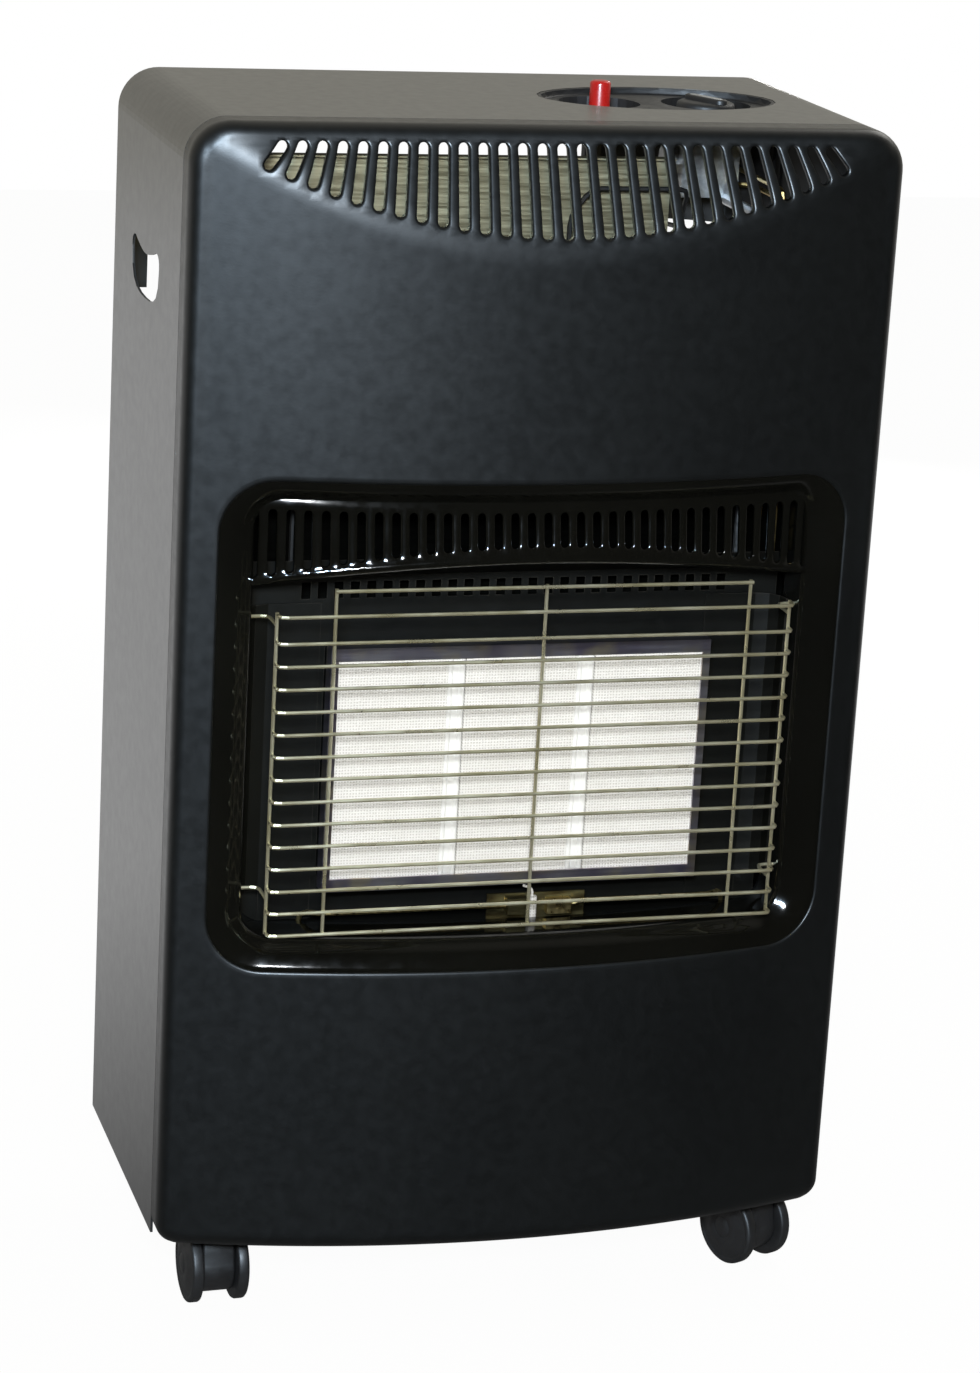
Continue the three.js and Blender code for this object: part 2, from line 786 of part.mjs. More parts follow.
function makeShell() {
  const innerRadius = shellCornerRadius - sheet;
  const wrap = new THREE.Shape();
  wrap.moveTo(halfWidth, bottomZ);
  wrap.lineTo(halfWidth, topZ - shellCornerRadius);
  wrap.absarc(halfWidth - shellCornerRadius, topZ - shellCornerRadius, shellCornerRadius, 0, Math.PI / 2, false);
  wrap.lineTo(-halfWidth + shellCornerRadius, topZ);
  wrap.absarc(-halfWidth + shellCornerRadius, topZ - shellCornerRadius, shellCornerRadius, Math.PI / 2, Math.PI, false);
  wrap.lineTo(-halfWidth, bottomZ);
  wrap.lineTo(-shellInside, bottomZ);
  wrap.lineTo(-shellInside, topZ - shellCornerRadius);
  wrap.absarc(-halfWidth + shellCornerRadius, topZ - shellCornerRadius, innerRadius, Math.PI, Math.PI / 2, true);
  wrap.lineTo(halfWidth - shellCornerRadius, topZ - sheet);
  wrap.absarc(halfWidth - shellCornerRadius, topZ - shellCornerRadius, innerRadius, Math.PI / 2, 0, true);
  wrap.lineTo(shellInside, bottomZ);
  const holes = prismX(handHoleShape(), -halfWidth - 1, halfWidth + 1, 5);
  const controlHole = prismZ(oval(controlX, controlCentreY, controlLength, controlWidth, 0), topZ - 2 * sheet, topZ + 1, 14);
  return cut(prismY(wrap, seamY, rearY), [holes, controlHole]);
}

function makeRearBrace() {
  const outer = roundedRectangle(
    shellInside - gap,
    bottomZ + braceFoot,
    topZ - sheet - gap,
    0.5,
    shellCornerRadius - sheet - gap,
  );
  const inner = roundedRectangle(
    shellInside - gap - braceWidth,
    bottomZ + braceFoot - 10,
    topZ - sheet - gap - braceWidth,
    0.5,
    6,
  );
  const frame = prismY(outer, rearY - 2 * braceSheet, rearY - braceSheet).subtract(
    prismY(inner, rearY - 4 * braceSheet, rearY),
  );
  const tabs = [-1, 1].map((side) => {
    const outside = side * (shellInside - gap);
    const inside = outside - side * braceSheet;
    return box(
      Math.min(inside, outside),
      Math.max(inside, outside),
      rearY - 2 * braceSheet - braceWidth,
      rearY - braceSheet,
      bottomZ + braceFoot,
      topZ - shellCornerRadius,
    );
  });
  return union([frame, ...tabs]);
}

function makeBasePan() {
  const half = shellInside - gap;
  const front = seamY + lapDepth + gap;
  const rear = front + panLength;
  const low = panTopZ - sheet;
  const plate = box(-half, half, front, rear, low, panTopZ);
  const flanges = [
    box(-half, sheet - half, front, rear, low, panTopZ + panFlange),
    box(half - sheet, half, front, rear, low, panTopZ + panFlange),
    box(-half, half, front, front + sheet, low, panTopZ + panFlange),
  ];
  const y = seamY + frontCasterDepth;
  return withSockets(union([plate, ...flanges]), frontCasterX, y, low, frontSocketHeight);
}

// adds a welded socket for a caster's stem at either side of a floor plate
function withSockets(plate, reach, y, underside, height) {
  const sockets = [-reach, reach].flatMap((x) => [
    rod([x, y, neckHeight + gap], [x, y, underside + 0.5], socketFlangeRadius, 16),
    rod([x, y, neckHeight + gap], [x, y, underside + height], socketRadius, 16),
  ]);
  const bores = [-reach, reach].map((x) => (
    rod([x, y, neckHeight - 1], [x, y, underside + height + 1], casterStemRadius + gap, 16)
  ));
  return cut(union([plate, ...sockets]), bores);
}

// ------------------------------------------------------------------ burner and chamber

function plaquePlaces() {
  return middled(plaqueCount, plaqueWidth + spacerWidth + 2 * gap);
}

function makePlaque(x) {
  const y = plaqueFrontY;
  return box(x - plaqueWidth / 2, x + plaqueWidth / 2, y, y + plaqueThickness, plaqueLow, plaqueHigh);
}

function spacerPlaces() {
  return middled(plaqueCount - 1, plaqueWidth + spacerWidth + 2 * gap);
}

function makeSpacer(x) {
  const y = plaqueFrontY + 0.6;
  const half = spacerWidth / 2;
  return box(x - half, x + half, y, y + plaqueThickness - 0.6, plaqueLow, plaqueHigh);
}

function makePlenum() {
  const t = burnerSheet;
  const outer = box(-plenumHalf, plenumHalf, plenumFrontY, plenumRearY, plenumLow, plenumHigh);
  const inner = box(t - plenumHalf, plenumHalf - t, plenumFrontY - 1, plenumRearY - t, plenumLow + t, plenumHigh - t);
  const inlets = middled(inletCount, inletPitch).map((x) => (
    rod([x, manifoldY, plenumLow - 1], [x, manifoldY, plenumLow + t + 1], inletRadius, 12)
  ));
  return cut(outer, [inner, ...inlets]);
}

function makeBurnerFrame() {
  const half = plenumHalf + gap + frameSheet;
  const low = plenumLow - gap - frameRail;
  const high = plenumHigh + gap + frameRail;
  const front = plaqueFrontY - gap - frameSheet;
  const body = box(-half, half, front, plenumFrontY + 9, low, high);
  const t = frameSheet;
  const hollow = box(t - half, half - t, front + t, plenumFrontY + 10, low + t, high - t);
  const openHalf = plaqueRow / 2 - frameOverlap;
  const opening = box(-openHalf, openHalf, front - 1, plaqueFrontY, plaqueLow + frameOverlap, plaqueHigh - frameOverlap);
  return cut(body, [hollow, opening]);
}

function makeBackplate() {
  const low = windowLow + bezelRimFoot - 1;
  const plate = box(-chamberHalfWidth, chamberHalfWidth, backplateY, backplateY + burnerSheet, low, backplateHigh);
  const opening = box(
    -plenumHalf - gap,
    plenumHalf + gap,
    backplateY - 1,
    backplateY + 2,
    plenumLow - gap,
    plenumHigh + gap,
  );
  const holes = middled(ventHoleCount, ventPitch).map((x) => {
    const foot = bottomZ + ventHoleRise;
    return box(x - ventHoleWidth / 2, x + ventHoleWidth / 2, backplateY - 1, backplateY + 2, foot, foot + ventHoleHeight);
  });
  return cut(plate, [opening, ...holes]);
}

function makeReflector(side) {
  const wallX = windowHalf - bezelRimSide - 5 - gap - burnerSheet;
  const rear = backplateY - gap - burnerSheet;
  const nearX = plenumHalf + gap + frameSheet + 2;
  const path = [
    [wallX, seamY - 4],
    [wallX - 1.5, seamY + 3],
    [wallX - 6, rear - 2.4],
    [wallX - 14, rear],
    [nearX, rear],
  ];
  const back = path.map(([x, y], i) => [i < 3 ? x + burnerSheet : x, i < 2 ? y : y + burnerSheet]).reverse();
  const cornerTop = windowLow + bezelRimFoot + 3 + bezelWallCorner + 1;
  const bent = prismZ(outline([...path, ...back]), cornerTop, bottomZ + ventHoleRise - 2);
  const foot = box(nearX, wallX - 14, rear, rear + burnerSheet, trayTop + gap, cornerTop + 1);
  return mirrored(bent.add(foot), side);
}

function makeTray() {
  const low = trayTop - burnerSheet;
  const plate = box(-trayHalfWidth, trayHalfWidth, seamY - trayReach, backplateY - gap, low, trayTop);
  const holes = trayHoles().map(([x, y]) => rod([x, y, low - 1], [x, y, trayTop + 1], 3, 10));
  return cut(plate, holes);
}

function makeTopDeflector() {
  const half = windowHalf - bezelRimSide - 8;
  const rear = backplateY - gap;
  const low = bottomZ + ventHoleRise + ventHoleHeight + 4;
  return skin(evenly(-half, half, 10).map((x) => {
    const lip = browZ(x) + bezelSheet + gap;
    const share = Math.min(Math.abs(x) / (windowHalf - bezelRimSide), 1) ** 4;
    const front = faceY(x) + browDepth + (bezelRimDepth - browDepth) * share + 4.5;
    const section = [
      [front, lip],
      [front + 8, lip],
      [rear, low],
      [rear, low + burnerSheet],
      [front + 8, lip + burnerSheet],
      [front, lip + burnerSheet],
    ];
    return section.map(([y, z]) => new THREE.Vector3(x, y, z));
  }), false);
}

function makeShield() {
  const half = shellInside - gap;
  const low = panTopZ + gap;
  const plate = box(-half, half, shieldY, shieldY + burnerSheet, low + panFlange, shieldHigh);
  const foot = box(sheet + gap - half, half - sheet - gap, shieldY, shieldY + burnerSheet, low, low + panFlange + 1);
  const lip = box(-half, notchX, shieldY - 8, shieldY, shieldHigh - burnerSheet, shieldHigh);
  const notch = box(
    notchX,
    halfWidth,
    shieldY - 10,
    shieldY + 2,
    topZ - shieldNotchDrop,
    shieldHigh + 1,
  );
  const sockets = [-1, 1].map((side) => {
    const x = side * frontCasterX;
    return box(x - 14, x + 14, shieldY - 2, shieldY + 3, low - 1, low + frontSocketHeight + 4);
  });
  return cut(union([plate, foot, lip]), [notch, ...sockets]);
}

// ------------------------------------------------------------------ gas train

const pilotZ = plaqueLow - pilotDrop;
const pilotY = seamY - pilotForward;
const pilotTubeX = pilotTubeInset - trayHalfWidth;
const thermocoupleLeadX = trayHalfWidth - thermocoupleInset;
const ignitionLeadX = pilotTubeX - 9;
const leadHoleY = seamY + leadHoleDepth;
const riseY = seamY + riseDepth;
const underZ = windowLow - 2;
const wellFloorZ = controlTopZ - valveWellDrop - controlFloor;

function trayHoles() {
  return [[pilotTubeX, leadHoleY], [thermocoupleLeadX, leadHoleY], [electrodeX, pilotY]];
}

function makePilotBurner() {
  const foot = trayTop + gap;
  const bracket = box(pilotX - 14, thermocoupleX + 16, pilotY + 3.5, pilotY + 5, foot, pilotZ + 6)
    .add(box(pilotX - 14, electrodeX - 4, pilotY - 3, pilotY + 5, foot, foot + 1.2));
  const head = box(pilotX - 3, pilotX + 9, pilotY - 4, pilotY + 3.6, pilotZ - 5, pilotZ + 5);
  return bracket.add(head);
}

function makePilotTube() {
  const riseX = valveX + pilotRiseReach;
  const level = wellFloorZ - pilotTubeDrop;
  return tube([
    [pilotX - 3 - gap, pilotY, pilotZ],
    [pilotTubeX + 8, pilotY, pilotZ],
    [pilotTubeX, leadHoleY, pilotZ - 3],
    [pilotTubeX, leadHoleY, underZ - 6],
    [pilotTubeX, riseY, underZ - 6],
    [riseX, riseY, underZ - 6],
    [riseX, riseY, level],
    [riseX, wellY, level],
    [valveX + valveBody[0] / 2 + gap, wellY, level],
  ], thinTubeRadius, 8, 6);
}

function makeThermocouple() {
  const riseX = valveX + thermocoupleRiseReach;
  const level = wellFloorZ - thermocoupleDrop;
  const tip = box(thermocoupleX - 9, thermocoupleX + 6, pilotY - 3, pilotY + 3.2, pilotZ - 6, pilotZ + 3);
  const lead = tube([
    [thermocoupleX, pilotY, pilotZ - 1],
    [thermocoupleX + 8, pilotY, pilotZ - 1],
    [thermocoupleX + 12, pilotY, pilotZ + 1],
    [thermocoupleLeadX - 14, pilotY, pilotZ + 1],
    [thermocoupleLeadX, leadHoleY, pilotZ - 2],
    [thermocoupleLeadX, leadHoleY, underZ],
    [riseX, riseY, underZ],
    [riseX, riseY, level],
    [riseX, wellY + 8, level],
    [valveX + valveBody[0] / 2 + gap, wellY + 8, level],
  ], leadRadius, 7, 6);
  return tip.add(lead);
}

function makeElectrode() {
  const insulator = rod([electrodeX, pilotY, pilotZ - 9], [electrodeX, pilotY, pilotZ + 5], 3, 10);
  const spike = tube([
    [electrodeX, pilotY, pilotZ + 4],
    [electrodeX, pilotY, pilotZ + 10],
    [electrodeX - 6, pilotY, pilotZ + 12],
  ], 0.8, 3, 6);
  return insulator.add(spike);
}

function makeIgnitionLead() {
  const bodyFoot = controlTopZ - igniterWellDrop - controlFloor - igniterLength;
  return tube([
    [igniterX, wellY, bodyFoot - gap],
    [igniterX, wellY, bodyFoot - 8],
    [notchX + leadCrossing, wellY, bodyFoot - 8],
    [notchX + leadCrossing, shieldY + 4, bodyFoot - 2],
    [notchX + leadCrossing, riseY, topZ - leadHighDrop],
    [leadTurnX + 12, riseY, topZ - leadHighDrop],
    [leadTurnX, riseY, topZ - leadHighDrop - 16],
    [leadTurnX, riseY, topZ - leadLowDrop],
    [ignitionLeadX, riseY, topZ - leadLowDrop],
    [ignitionLeadX, riseY, underZ + 2],
    [ignitionLeadX, seamY - 2, underZ + 2],
    [electrodeX, seamY - 2, underZ + 2],
    [electrodeX, pilotY, underZ + 2],
    [electrodeX, pilotY, pilotZ - 9 - gap],
  ], leadRadius, 6, 6);
}

function makeManifold() {
  const reach = inletPitch + 12;
  const bar = rod([-reach, manifoldY, manifoldZ], [reach, manifoldY, manifoldZ], manifoldRadius, 12);
  const injectors = middled(inletCount, inletPitch).map((x) => (
    rod([x, manifoldY, manifoldZ], [x, manifoldY, plenumLow - 3], 3.2, 8, 1.8)
  ));
  const feet = [-1, 1].map((side) => {
    const x = side * (inletPitch / 2);
    return box(x - 6, x + 6, backplateY + burnerSheet + gap, manifoldY, manifoldZ - 3, manifoldZ + 3);
  });
  return union([bar, ...injectors, ...feet]);
}

function makeSupplyPipe() {
  const x = valveX + supplyRiseReach;
  const level = wellFloorZ - supplyDrop;
  return tube([
    [inletPitch + 12 + gap, manifoldY, manifoldZ],
    [x, manifoldY, manifoldZ],
    [x, manifoldY, level],
    [x, wellY - valveBody[1] / 2 - gap, level],
  ], pipeRadius, 12, 8);
}

function makeValve() {
  const [width, depth, height] = valveBody;
  const high = wellFloorZ - gap;
  const body = box(valveX - width / 2, valveX + width / 2, wellY - depth / 2, wellY + depth / 2, high - height, high);
  const cover = rod([valveX - width / 2 - 6, wellY, high - height / 2], [valveX, wellY, high - height / 2], 11, 12);
  const bore = rod([valveX, wellY, high - 26], [valveX, wellY, high + 1], stemRadius + gap, 16);
  return cut(body.add(cover), [bore]);
}

function makeNozzle() {
  const start = wellY + valveBody[1] / 2 + gap;
  const level = wellFloorZ - nozzleDrop;
  const profile = [[0, 0], [7, 0], [7, 8], [4.5, 8], [4.5, 20], [5.4, 22]];
  for (let barb = 0; barb < 3; barb += 1) {
    const at = 22 + barb * 6;
    profile.push([4.2, at + 5], [5.4, at + 6]);
  }
  profile.push([4, nozzleLength], [2.6, nozzleLength], [2.6, 6], [0, 6]);
  const points = profile.map(([radius, along]) => new THREE.Vector2(radius, along));
  const geometry = new THREE.LatheGeometry(points, 10);
  geometry.translate(0, start, 0);
  geometry.translate(valveX, 0, level);
  return toSolid(geometry);
}

// ------------------------------------------------------------------ controls

function makeControlPanel() {
  const shape = (inset) => oval(controlX, controlCentreY, controlLength, controlWidth, inset);
  const flange = prismZ(shape(-5), controlUnderZ - 1.6, controlUnderZ, 14);
  const wall = prismZ(shape(gap), controlTopZ - controlFloor, topZ - gap, 14);
  const dish = prismZ(shape(gap + 2.2), controlTopZ, topZ + 1, 14);
  const wells = [
    [igniterX, igniterWellRadius, igniterWellDrop],
    [valveX, valveWellRadius, valveWellDrop],
  ];
  const cups = wells.map(([x, radius, drop]) => (
    rod([x, wellY, controlTopZ - drop - controlFloor], [x, wellY, controlTopZ - 0.5], radius + 2, 24)
  ));
  const hollows = wells.map(([x, radius, drop]) => (
    rod([x, wellY, controlTopZ - drop], [x, wellY, topZ + 1], radius - 1.5, 24, radius)
  ));
  const behind = box(notchX, controlX + controlLength, controlCentreY, rearY, 0, topZ);
  const low = topZ - shroudFoot;
  const shroud = prismZ(shape(-5), low, controlUnderZ - 1, 14)
    .subtract(prismZ(shape(shroudWall - 5), low - 1, controlUnderZ, 14))
    .intersect(behind);
  const nozzleZ = wellFloorZ - nozzleDrop;
  const hoseHole = rod([valveX, wellY, nozzleZ], [valveX, rearY, nozzleZ], hoseHoleRadius, 16);
  const igniterHole = rod([igniterX, wellY, controlTopZ - 30], [igniterX, wellY, topZ], igniterRadius + gap, 16);
  const stemHole = rod([valveX, wellY, controlTopZ - 30], [valveX, wellY, topZ], stemRadius + gap, 16);
  return cut(union([flange, wall, ...cups, shroud]), [dish, ...hollows, hoseHole, igniterHole, stemHole]);
}

function makeIgniterBody() {
  const floorZ = controlTopZ - igniterWellDrop;
  const shank = rod([igniterX, wellY, floorZ - controlFloor - igniterLength], [igniterX, wellY, floorZ + 4], igniterRadius, 16);
  const collar = rod([igniterX, wellY, floorZ + gap], [igniterX, wellY, floorZ + 4], igniterRadius + 3, 16);
  const nut = rod([igniterX, wellY, floorZ - controlFloor - gap - 4], [igniterX, wellY, floorZ - controlFloor - gap], igniterRadius + 4, 6);
  const bore = rod([igniterX, wellY, floorZ - 14], [igniterX, wellY, floorZ + 5], buttonRadius + gap, 16);
  return cut(union([shank, collar, nut]), [bore]);
}

function makeButton() {
  const high = topZ + buttonProud;
  const low = controlTopZ - igniterWellDrop - 14 + buttonTravel + 1;
  const body = rod([igniterX, wellY, low], [igniterX, wellY, high - 1.2], buttonRadius, 16);
  const crown = rod([igniterX, wellY, high - 1.2], [igniterX, wellY, high], buttonRadius, 16, buttonRadius - 1.2);
  return body.add(crown);
}

function makeStem() {
  const high = controlTopZ - valveWellDrop + knobTravel + 9;
  return rod([valveX, wellY, wellFloorZ - gap - 26 + knobTravel + 1], [valveX, wellY, high], stemRadius, 16);
}

function makeKnob() {
  const low = controlTopZ - valveWellDrop + knobTravel + 0.6;
  const high = low + knobHeight;
  const skirt = rod([valveX, wellY, low], [valveX, wellY, low + 3], knobRadius, 24);
  const grip = rod([valveX, wellY, low + 3], [valveX, wellY, high - 2], knobRadius - 1.5, 24, knobRadius - 3);
  const pointer = box(valveX - 3, valveX + 3, wellY - knobRadius + 4, wellY + knobRadius - 4, high - 3, high);
  const stemTop = controlTopZ - valveWellDrop + knobTravel + 9;
  const bore = rod([valveX, wellY, low - 1], [valveX, wellY, stemTop + gap], stemRadius + gap, 16);
  return cut(union([skirt, grip, pointer]), [bore]);
}

// ------------------------------------------------------------------ cylinder bay

function makeRail(side) {
  const outer = shellInside - gap;
  const inner = outer - runnerDepth;
  const low = bottomZ + runnerRise;
  const high = low + runnerHeight;
  const body = box(inner, outer, bayFrontY, bayRearY - baySheet - 2, low, high);
  const channel = box(
    inner - 1,
    outer - runnerSheet,
    bayFrontY - 1,
    rearY,
    low + runnerSheet,
    high - runnerSheet,
  );
  return mirrored(body.subtract(channel), side);
}

function makeSlider(side) {
  const low = bottomZ + runnerRise + runnerSheet + gap;
  const high = bottomZ + runnerRise + runnerHeight - runnerSheet - gap;
  const outer = shellInside - gap - runnerSheet - gap;
  return mirrored(box(bayOuterX + gap, outer, bayFrontY, bayRearY - baySheet - 2, low, high), side);
}

function mirrored(solid, side) {
  return side < 0 ? solid.mirror([1, 0, 0]) : solid;
}

function makeBaySide(side) {
  const low = panTopZ + 1.5;
  const plate = box(bayOuterX - baySheet, bayOuterX, bayFrontY, bayRearY, low, bayTopZ);
  const foot = bottomZ + doorRise + 6;
  const flange = box(bayOuterX - returnFlange, bayOuterX, bayRearY - baySheet, bayRearY, foot, bayTopZ);
  return mirrored(plate.add(flange), side);
}

// a block on the right flange that the closed door comes up against
function makeDoorStop() {
  const x = bayOuterX - returnFlange / 2;
  const z = bottomZ + doorPullRise;
  return box(x - 5, x + 5, bayRearY - baySheet / 2, rearY - 0.4 - doorSheet - gap, z - 15, z + 15);
}

function makeBayFloor() {
  const half = bayOuterX;
  const front = seamY + bayFloorFront;
  const plate = box(-half, half, front, bayRearY - 2 * baySheet - gap, bayFloorZ, bayFloorZ + baySheet);
  const rear = box(
    baySheet + gap - half,
    half - baySheet - gap,
    bayRearY - 2 * baySheet - gap,
    bayRearY - baySheet - gap,
    bayFloorZ,
    bottomZ + doorRise + 30,
  );
  const flanges = [-1, 1].map((side) => mirrored(box(
    half - 2 * baySheet - gap,
    half - baySheet - gap,
    front,
    bayRearY - 2 * baySheet - gap,
    bayFloorZ,
    bottomZ + doorRise + 30,
  ), side));
  const y = seamY + rearCasterDepth;
  return withSockets(union([plate, rear, ...flanges]), rearCasterX, y, bayFloorZ, rearSocketHeight);
}

const hingeX = -(bayOuterX - 3);
const hingeY = rearY - hingePinRadius - knuckleWall - 0.4;

function makeDoor() {
  const low = bottomZ + doorRise;
  const high = bayTopZ - 2;
  const left = hingeX + hingePinRadius + 2.4;
  const right = bayOuterX - 1;
  const rear = rearY - 0.4;
  const front = rear - doorThickness + 0.5;
  const skinPlate = box(left, right, rear - doorSheet, rear, low, high);
  const edges = [
    box(left, left + doorSheet, front, rear, low, high),
    box(right - doorSheet, right, front, rear, low, high),
    box(left, right, front, rear, low, low + doorSheet),
    box(left, right, front, rear, high - doorSheet, high),
  ];
  const slots = middled(doorSlotCount, doorSlotPitch).flatMap((offset) => doorSlotRises.map((rise) => {
    const z = bottomZ + rise + offset;
    return prismY(slotShape([-doorSlotHalf, z], [doorSlotHalf, z], 6), rear - 3, rear + 1, 2);
  }));
  const pullZ = bottomZ + doorPullRise;
  const pull = rod([right - 30, rear - 3, pullZ], [right - 30, rear + 1, pullZ], 11, 16);
  const knuckles = hingeHeights.map((rise) => {
    const z = bottomZ + rise;
    const arm = box(hingeX, left + 1, rear - doorSheet, rear, z, z + hingeLength);
    const knuckle = rod([hingeX, hingeY, z], [hingeX, hingeY, z + hingeLength], hingePinRadius + knuckleWall, 12);
    return arm.add(knuckle);
  });
  const bores = hingeHeights.map((rise) => {
    const z = bottomZ + rise;
    return rod([hingeX, hingeY, z - 1], [hingeX, hingeY, z + hingeLength + 1], hingePinRadius + gap, 12);
  });
  return cut(union([skinPlate, ...edges, ...knuckles]), [...slots, pull, ...bores]);
}

// one long pin through both knuckles, held by an ear above and below each
function makeHingePin() {
  const foot = bottomZ + hingeHeights[0] - earHeight;
  const head = bottomZ + hingeHeights[1] + hingeLength + earHeight;
  const pin = rod([hingeX, hingeY, foot], [hingeX, hingeY, head], hingePinRadius, 12);
  const ears = hingeHeights.flatMap((rise) => [rise - earHeight, rise + hingeLength + gap]).map((rise) => {
    const low = bottomZ + rise;
    return box(
      hingeX - 2.5,
      hingeX + 2.5,
      bayRearY + gap,
      hingeY + hingePinRadius,
      low,
      low + earHeight - gap,
    );
  });
  return union([pin, ...ears]);
}

// ------------------------------------------------------------------ casters

function makeHood(stemTop) {
  const drum = new THREE.Shape();
  drum.absarc(-casterTrail, wheelRadius, hoodRadius, 0, 2 * Math.PI, false);
  const neck = outline([
    [-casterTrail - 17, wheelRadius + 6],
    [-casterTrail - 2, wheelRadius - 6],
    [6, 36],
    [8.5, 42],
    [8.5, neckHeight],
    [-casterTrail - 8, neckHeight],
    [-casterTrail - 14, neckHeight - 4],
  ]);
  const half = hoodWidth / 2;
  const hood = prismX(drum, -half, half, 11).add(prismX(neck, -half, half));
  const stem = rod([0, 0, neckHeight - 6], [0, 0, stemTop], casterStemRadius, 16);
  const bore = rod([-half - 1, -casterTrail, wheelRadius], [half + 1, -casterTrail, wheelRadius], axleRadius + gap, 12);
  return cut(hood.add(stem), [bore]);
}

function makeWheel(side) {
  const radius = wheelRadius / Math.cos(Math.PI / wheelSegments);
  const profile = [
    [0, wheelOuter - 1.2],
    [axleRadius + gap, wheelOuter - 1.2],
    [axleRadius + gap, wheelInner],
    [radius - 2, wheelInner],
    [radius, wheelInner + 1.5],
    [radius, wheelInner + treadWidth],
    [radius - 2, wheelInner + treadWidth + 1.5],
    [radius / 2, wheelOuter],
    [0, wheelOuter],
  ];
  const lathe = new THREE.LatheGeometry(profile.map(([r, along]) => new THREE.Vector2(r, along)), wheelSegments);
  lathe.rotateY(Math.PI / wheelSegments);
  lathe.rotateZ(-Math.PI / 2);
  lathe.translate(0, -casterTrail, wheelRadius);
  return mirrored(toSolid(lathe), side);
}

function makeAxle() {
  const reach = wheelOuter - 1.2 - gap;
  return rod([-reach, -casterTrail, wheelRadius], [reach, -casterTrail, wheelRadius], axleRadius, 12);
}

// ------------------------------------------------------------------ assembly

const heater = new THREE.Group();

function place(name, solid, finish, group = heater) {
  const mesh = new THREE.Mesh(toGeometry(solid), finish);
  mesh.name = name;
  group.add(mesh);
}

place('cabinet_shell', makeShell(), satinBlack);
place('front_panel', makeFrontPanel(), satinBlack);
place('rear_brace', makeRearBrace(), satinBlack);
place('base_pan', makeBasePan(), zincSteel);
place('window_bezel', makeBezel(), enamelBlack);
place('guard_grille', makeGuard(), wireSteel);
place('guard_hanger_left', makeGuardHanger(-1), wireSteel);
place('guard_hanger_right', makeGuardHanger(1), wireSteel);

plaquePlaces().forEach((x, i) => place(`ceramic_plaque_${i + 1}`, makePlaque(x), ceramicWhite));
spacerPlaces().forEach((x, i) => place(`plaque_spacer_${i + 1}`, makeSpacer(x), ceramicWhite));
place('burner_frame', makeBurnerFrame(), tintedSteel);
place('plenum_box', makePlenum(), darkSteel);
place('burner_backplate', makeBackplate(), darkSteel);
place('reflector_left', makeReflector(-1), darkSteel);
place('reflector_right', makeReflector(1), darkSteel);
place('lower_tray', makeTray(), darkSteel);
place('top_deflector', makeTopDeflector(), darkSteel);
place('heat_shield', makeShield(), platedSteel);

place('pilot_burner', makePilotBurner(), brass);
place('pilot_tube', makePilotTube(), brass);
place('thermocouple', makeThermocouple(), brass);
place('spark_electrode', makeElectrode(), ceramicWhite);
place('ignition_lead', makeIgnitionLead(), plasticBlack);
place('injector_manifold', makeManifold(), brass);
place('supply_pipe', makeSupplyPipe(), aluminium);
place('gas_valve', makeValve(), aluminium);
place('hose_nozzle', makeNozzle(), brass);

place('control_panel', makeControlPanel(), plasticBlack);
place('igniter_body', makeIgniterBody(), plasticBlack);
place('igniter_button', makeButton(), buttonRed);
place('valve_stem', makeStem(), brass);
place('control_knob', makeKnob(), plasticBlack);

for (const [side, name] of [[-1, 'left'], [1, 'right']]) {
  place(`runner_rail_${name}`, makeRail(side), zincSteel);
  place(`runner_slider_${name}`, makeSlider(side), zincSteel);
}
place('bay_side_left', makeBaySide(-1), satinBlack);
place('bay_side_right', makeBaySide(1).add(makeDoorStop()), satinBlack);
place('bay_floor', makeBayFloor(), zincSteel);
place('rear_door', makeDoor(), satinBlack);
place('door_hinge_pin', makeHingePin(), zincSteel);

const casters = [
  ['front_left', -frontCasterX, seamY + frontCasterDepth, groundClearance + frontSocketHeight],
  ['front_right', frontCasterX, seamY + frontCasterDepth, groundClearance + frontSocketHeight],
  ['rear_left', -rearCasterX, seamY + rearCasterDepth, groundClearance + rearSocketHeight],
  ['rear_right', rearCasterX, seamY + rearCasterDepth, groundClearance + rearSocketHeight],
];

for (const [name, x, y, stemTop] of casters) {
  const swivel = new THREE.Group();
  swivel.position.set(x, y, 0);
  swivel.rotation.z = THREE.MathUtils.degToRad(casterTurns[name]);
  heater.add(swivel);
  place(`caster_hood_${name}`, makeHood(stemTop), plasticBlack, swivel);
  place(`caster_axle_${name}`, makeAxle(), zincSteel, swivel);
  place(`caster_wheel_a_${name}`, makeWheel(-1), plasticBlack, swivel);
  place(`caster_wheel_b_${name}`, makeWheel(1), plasticBlack, swivel);
}

export default heater;
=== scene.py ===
import json
import math

import bpy
from mathutils import Matrix, Vector
from mathutils.geometry import delaunay_2d_cdt

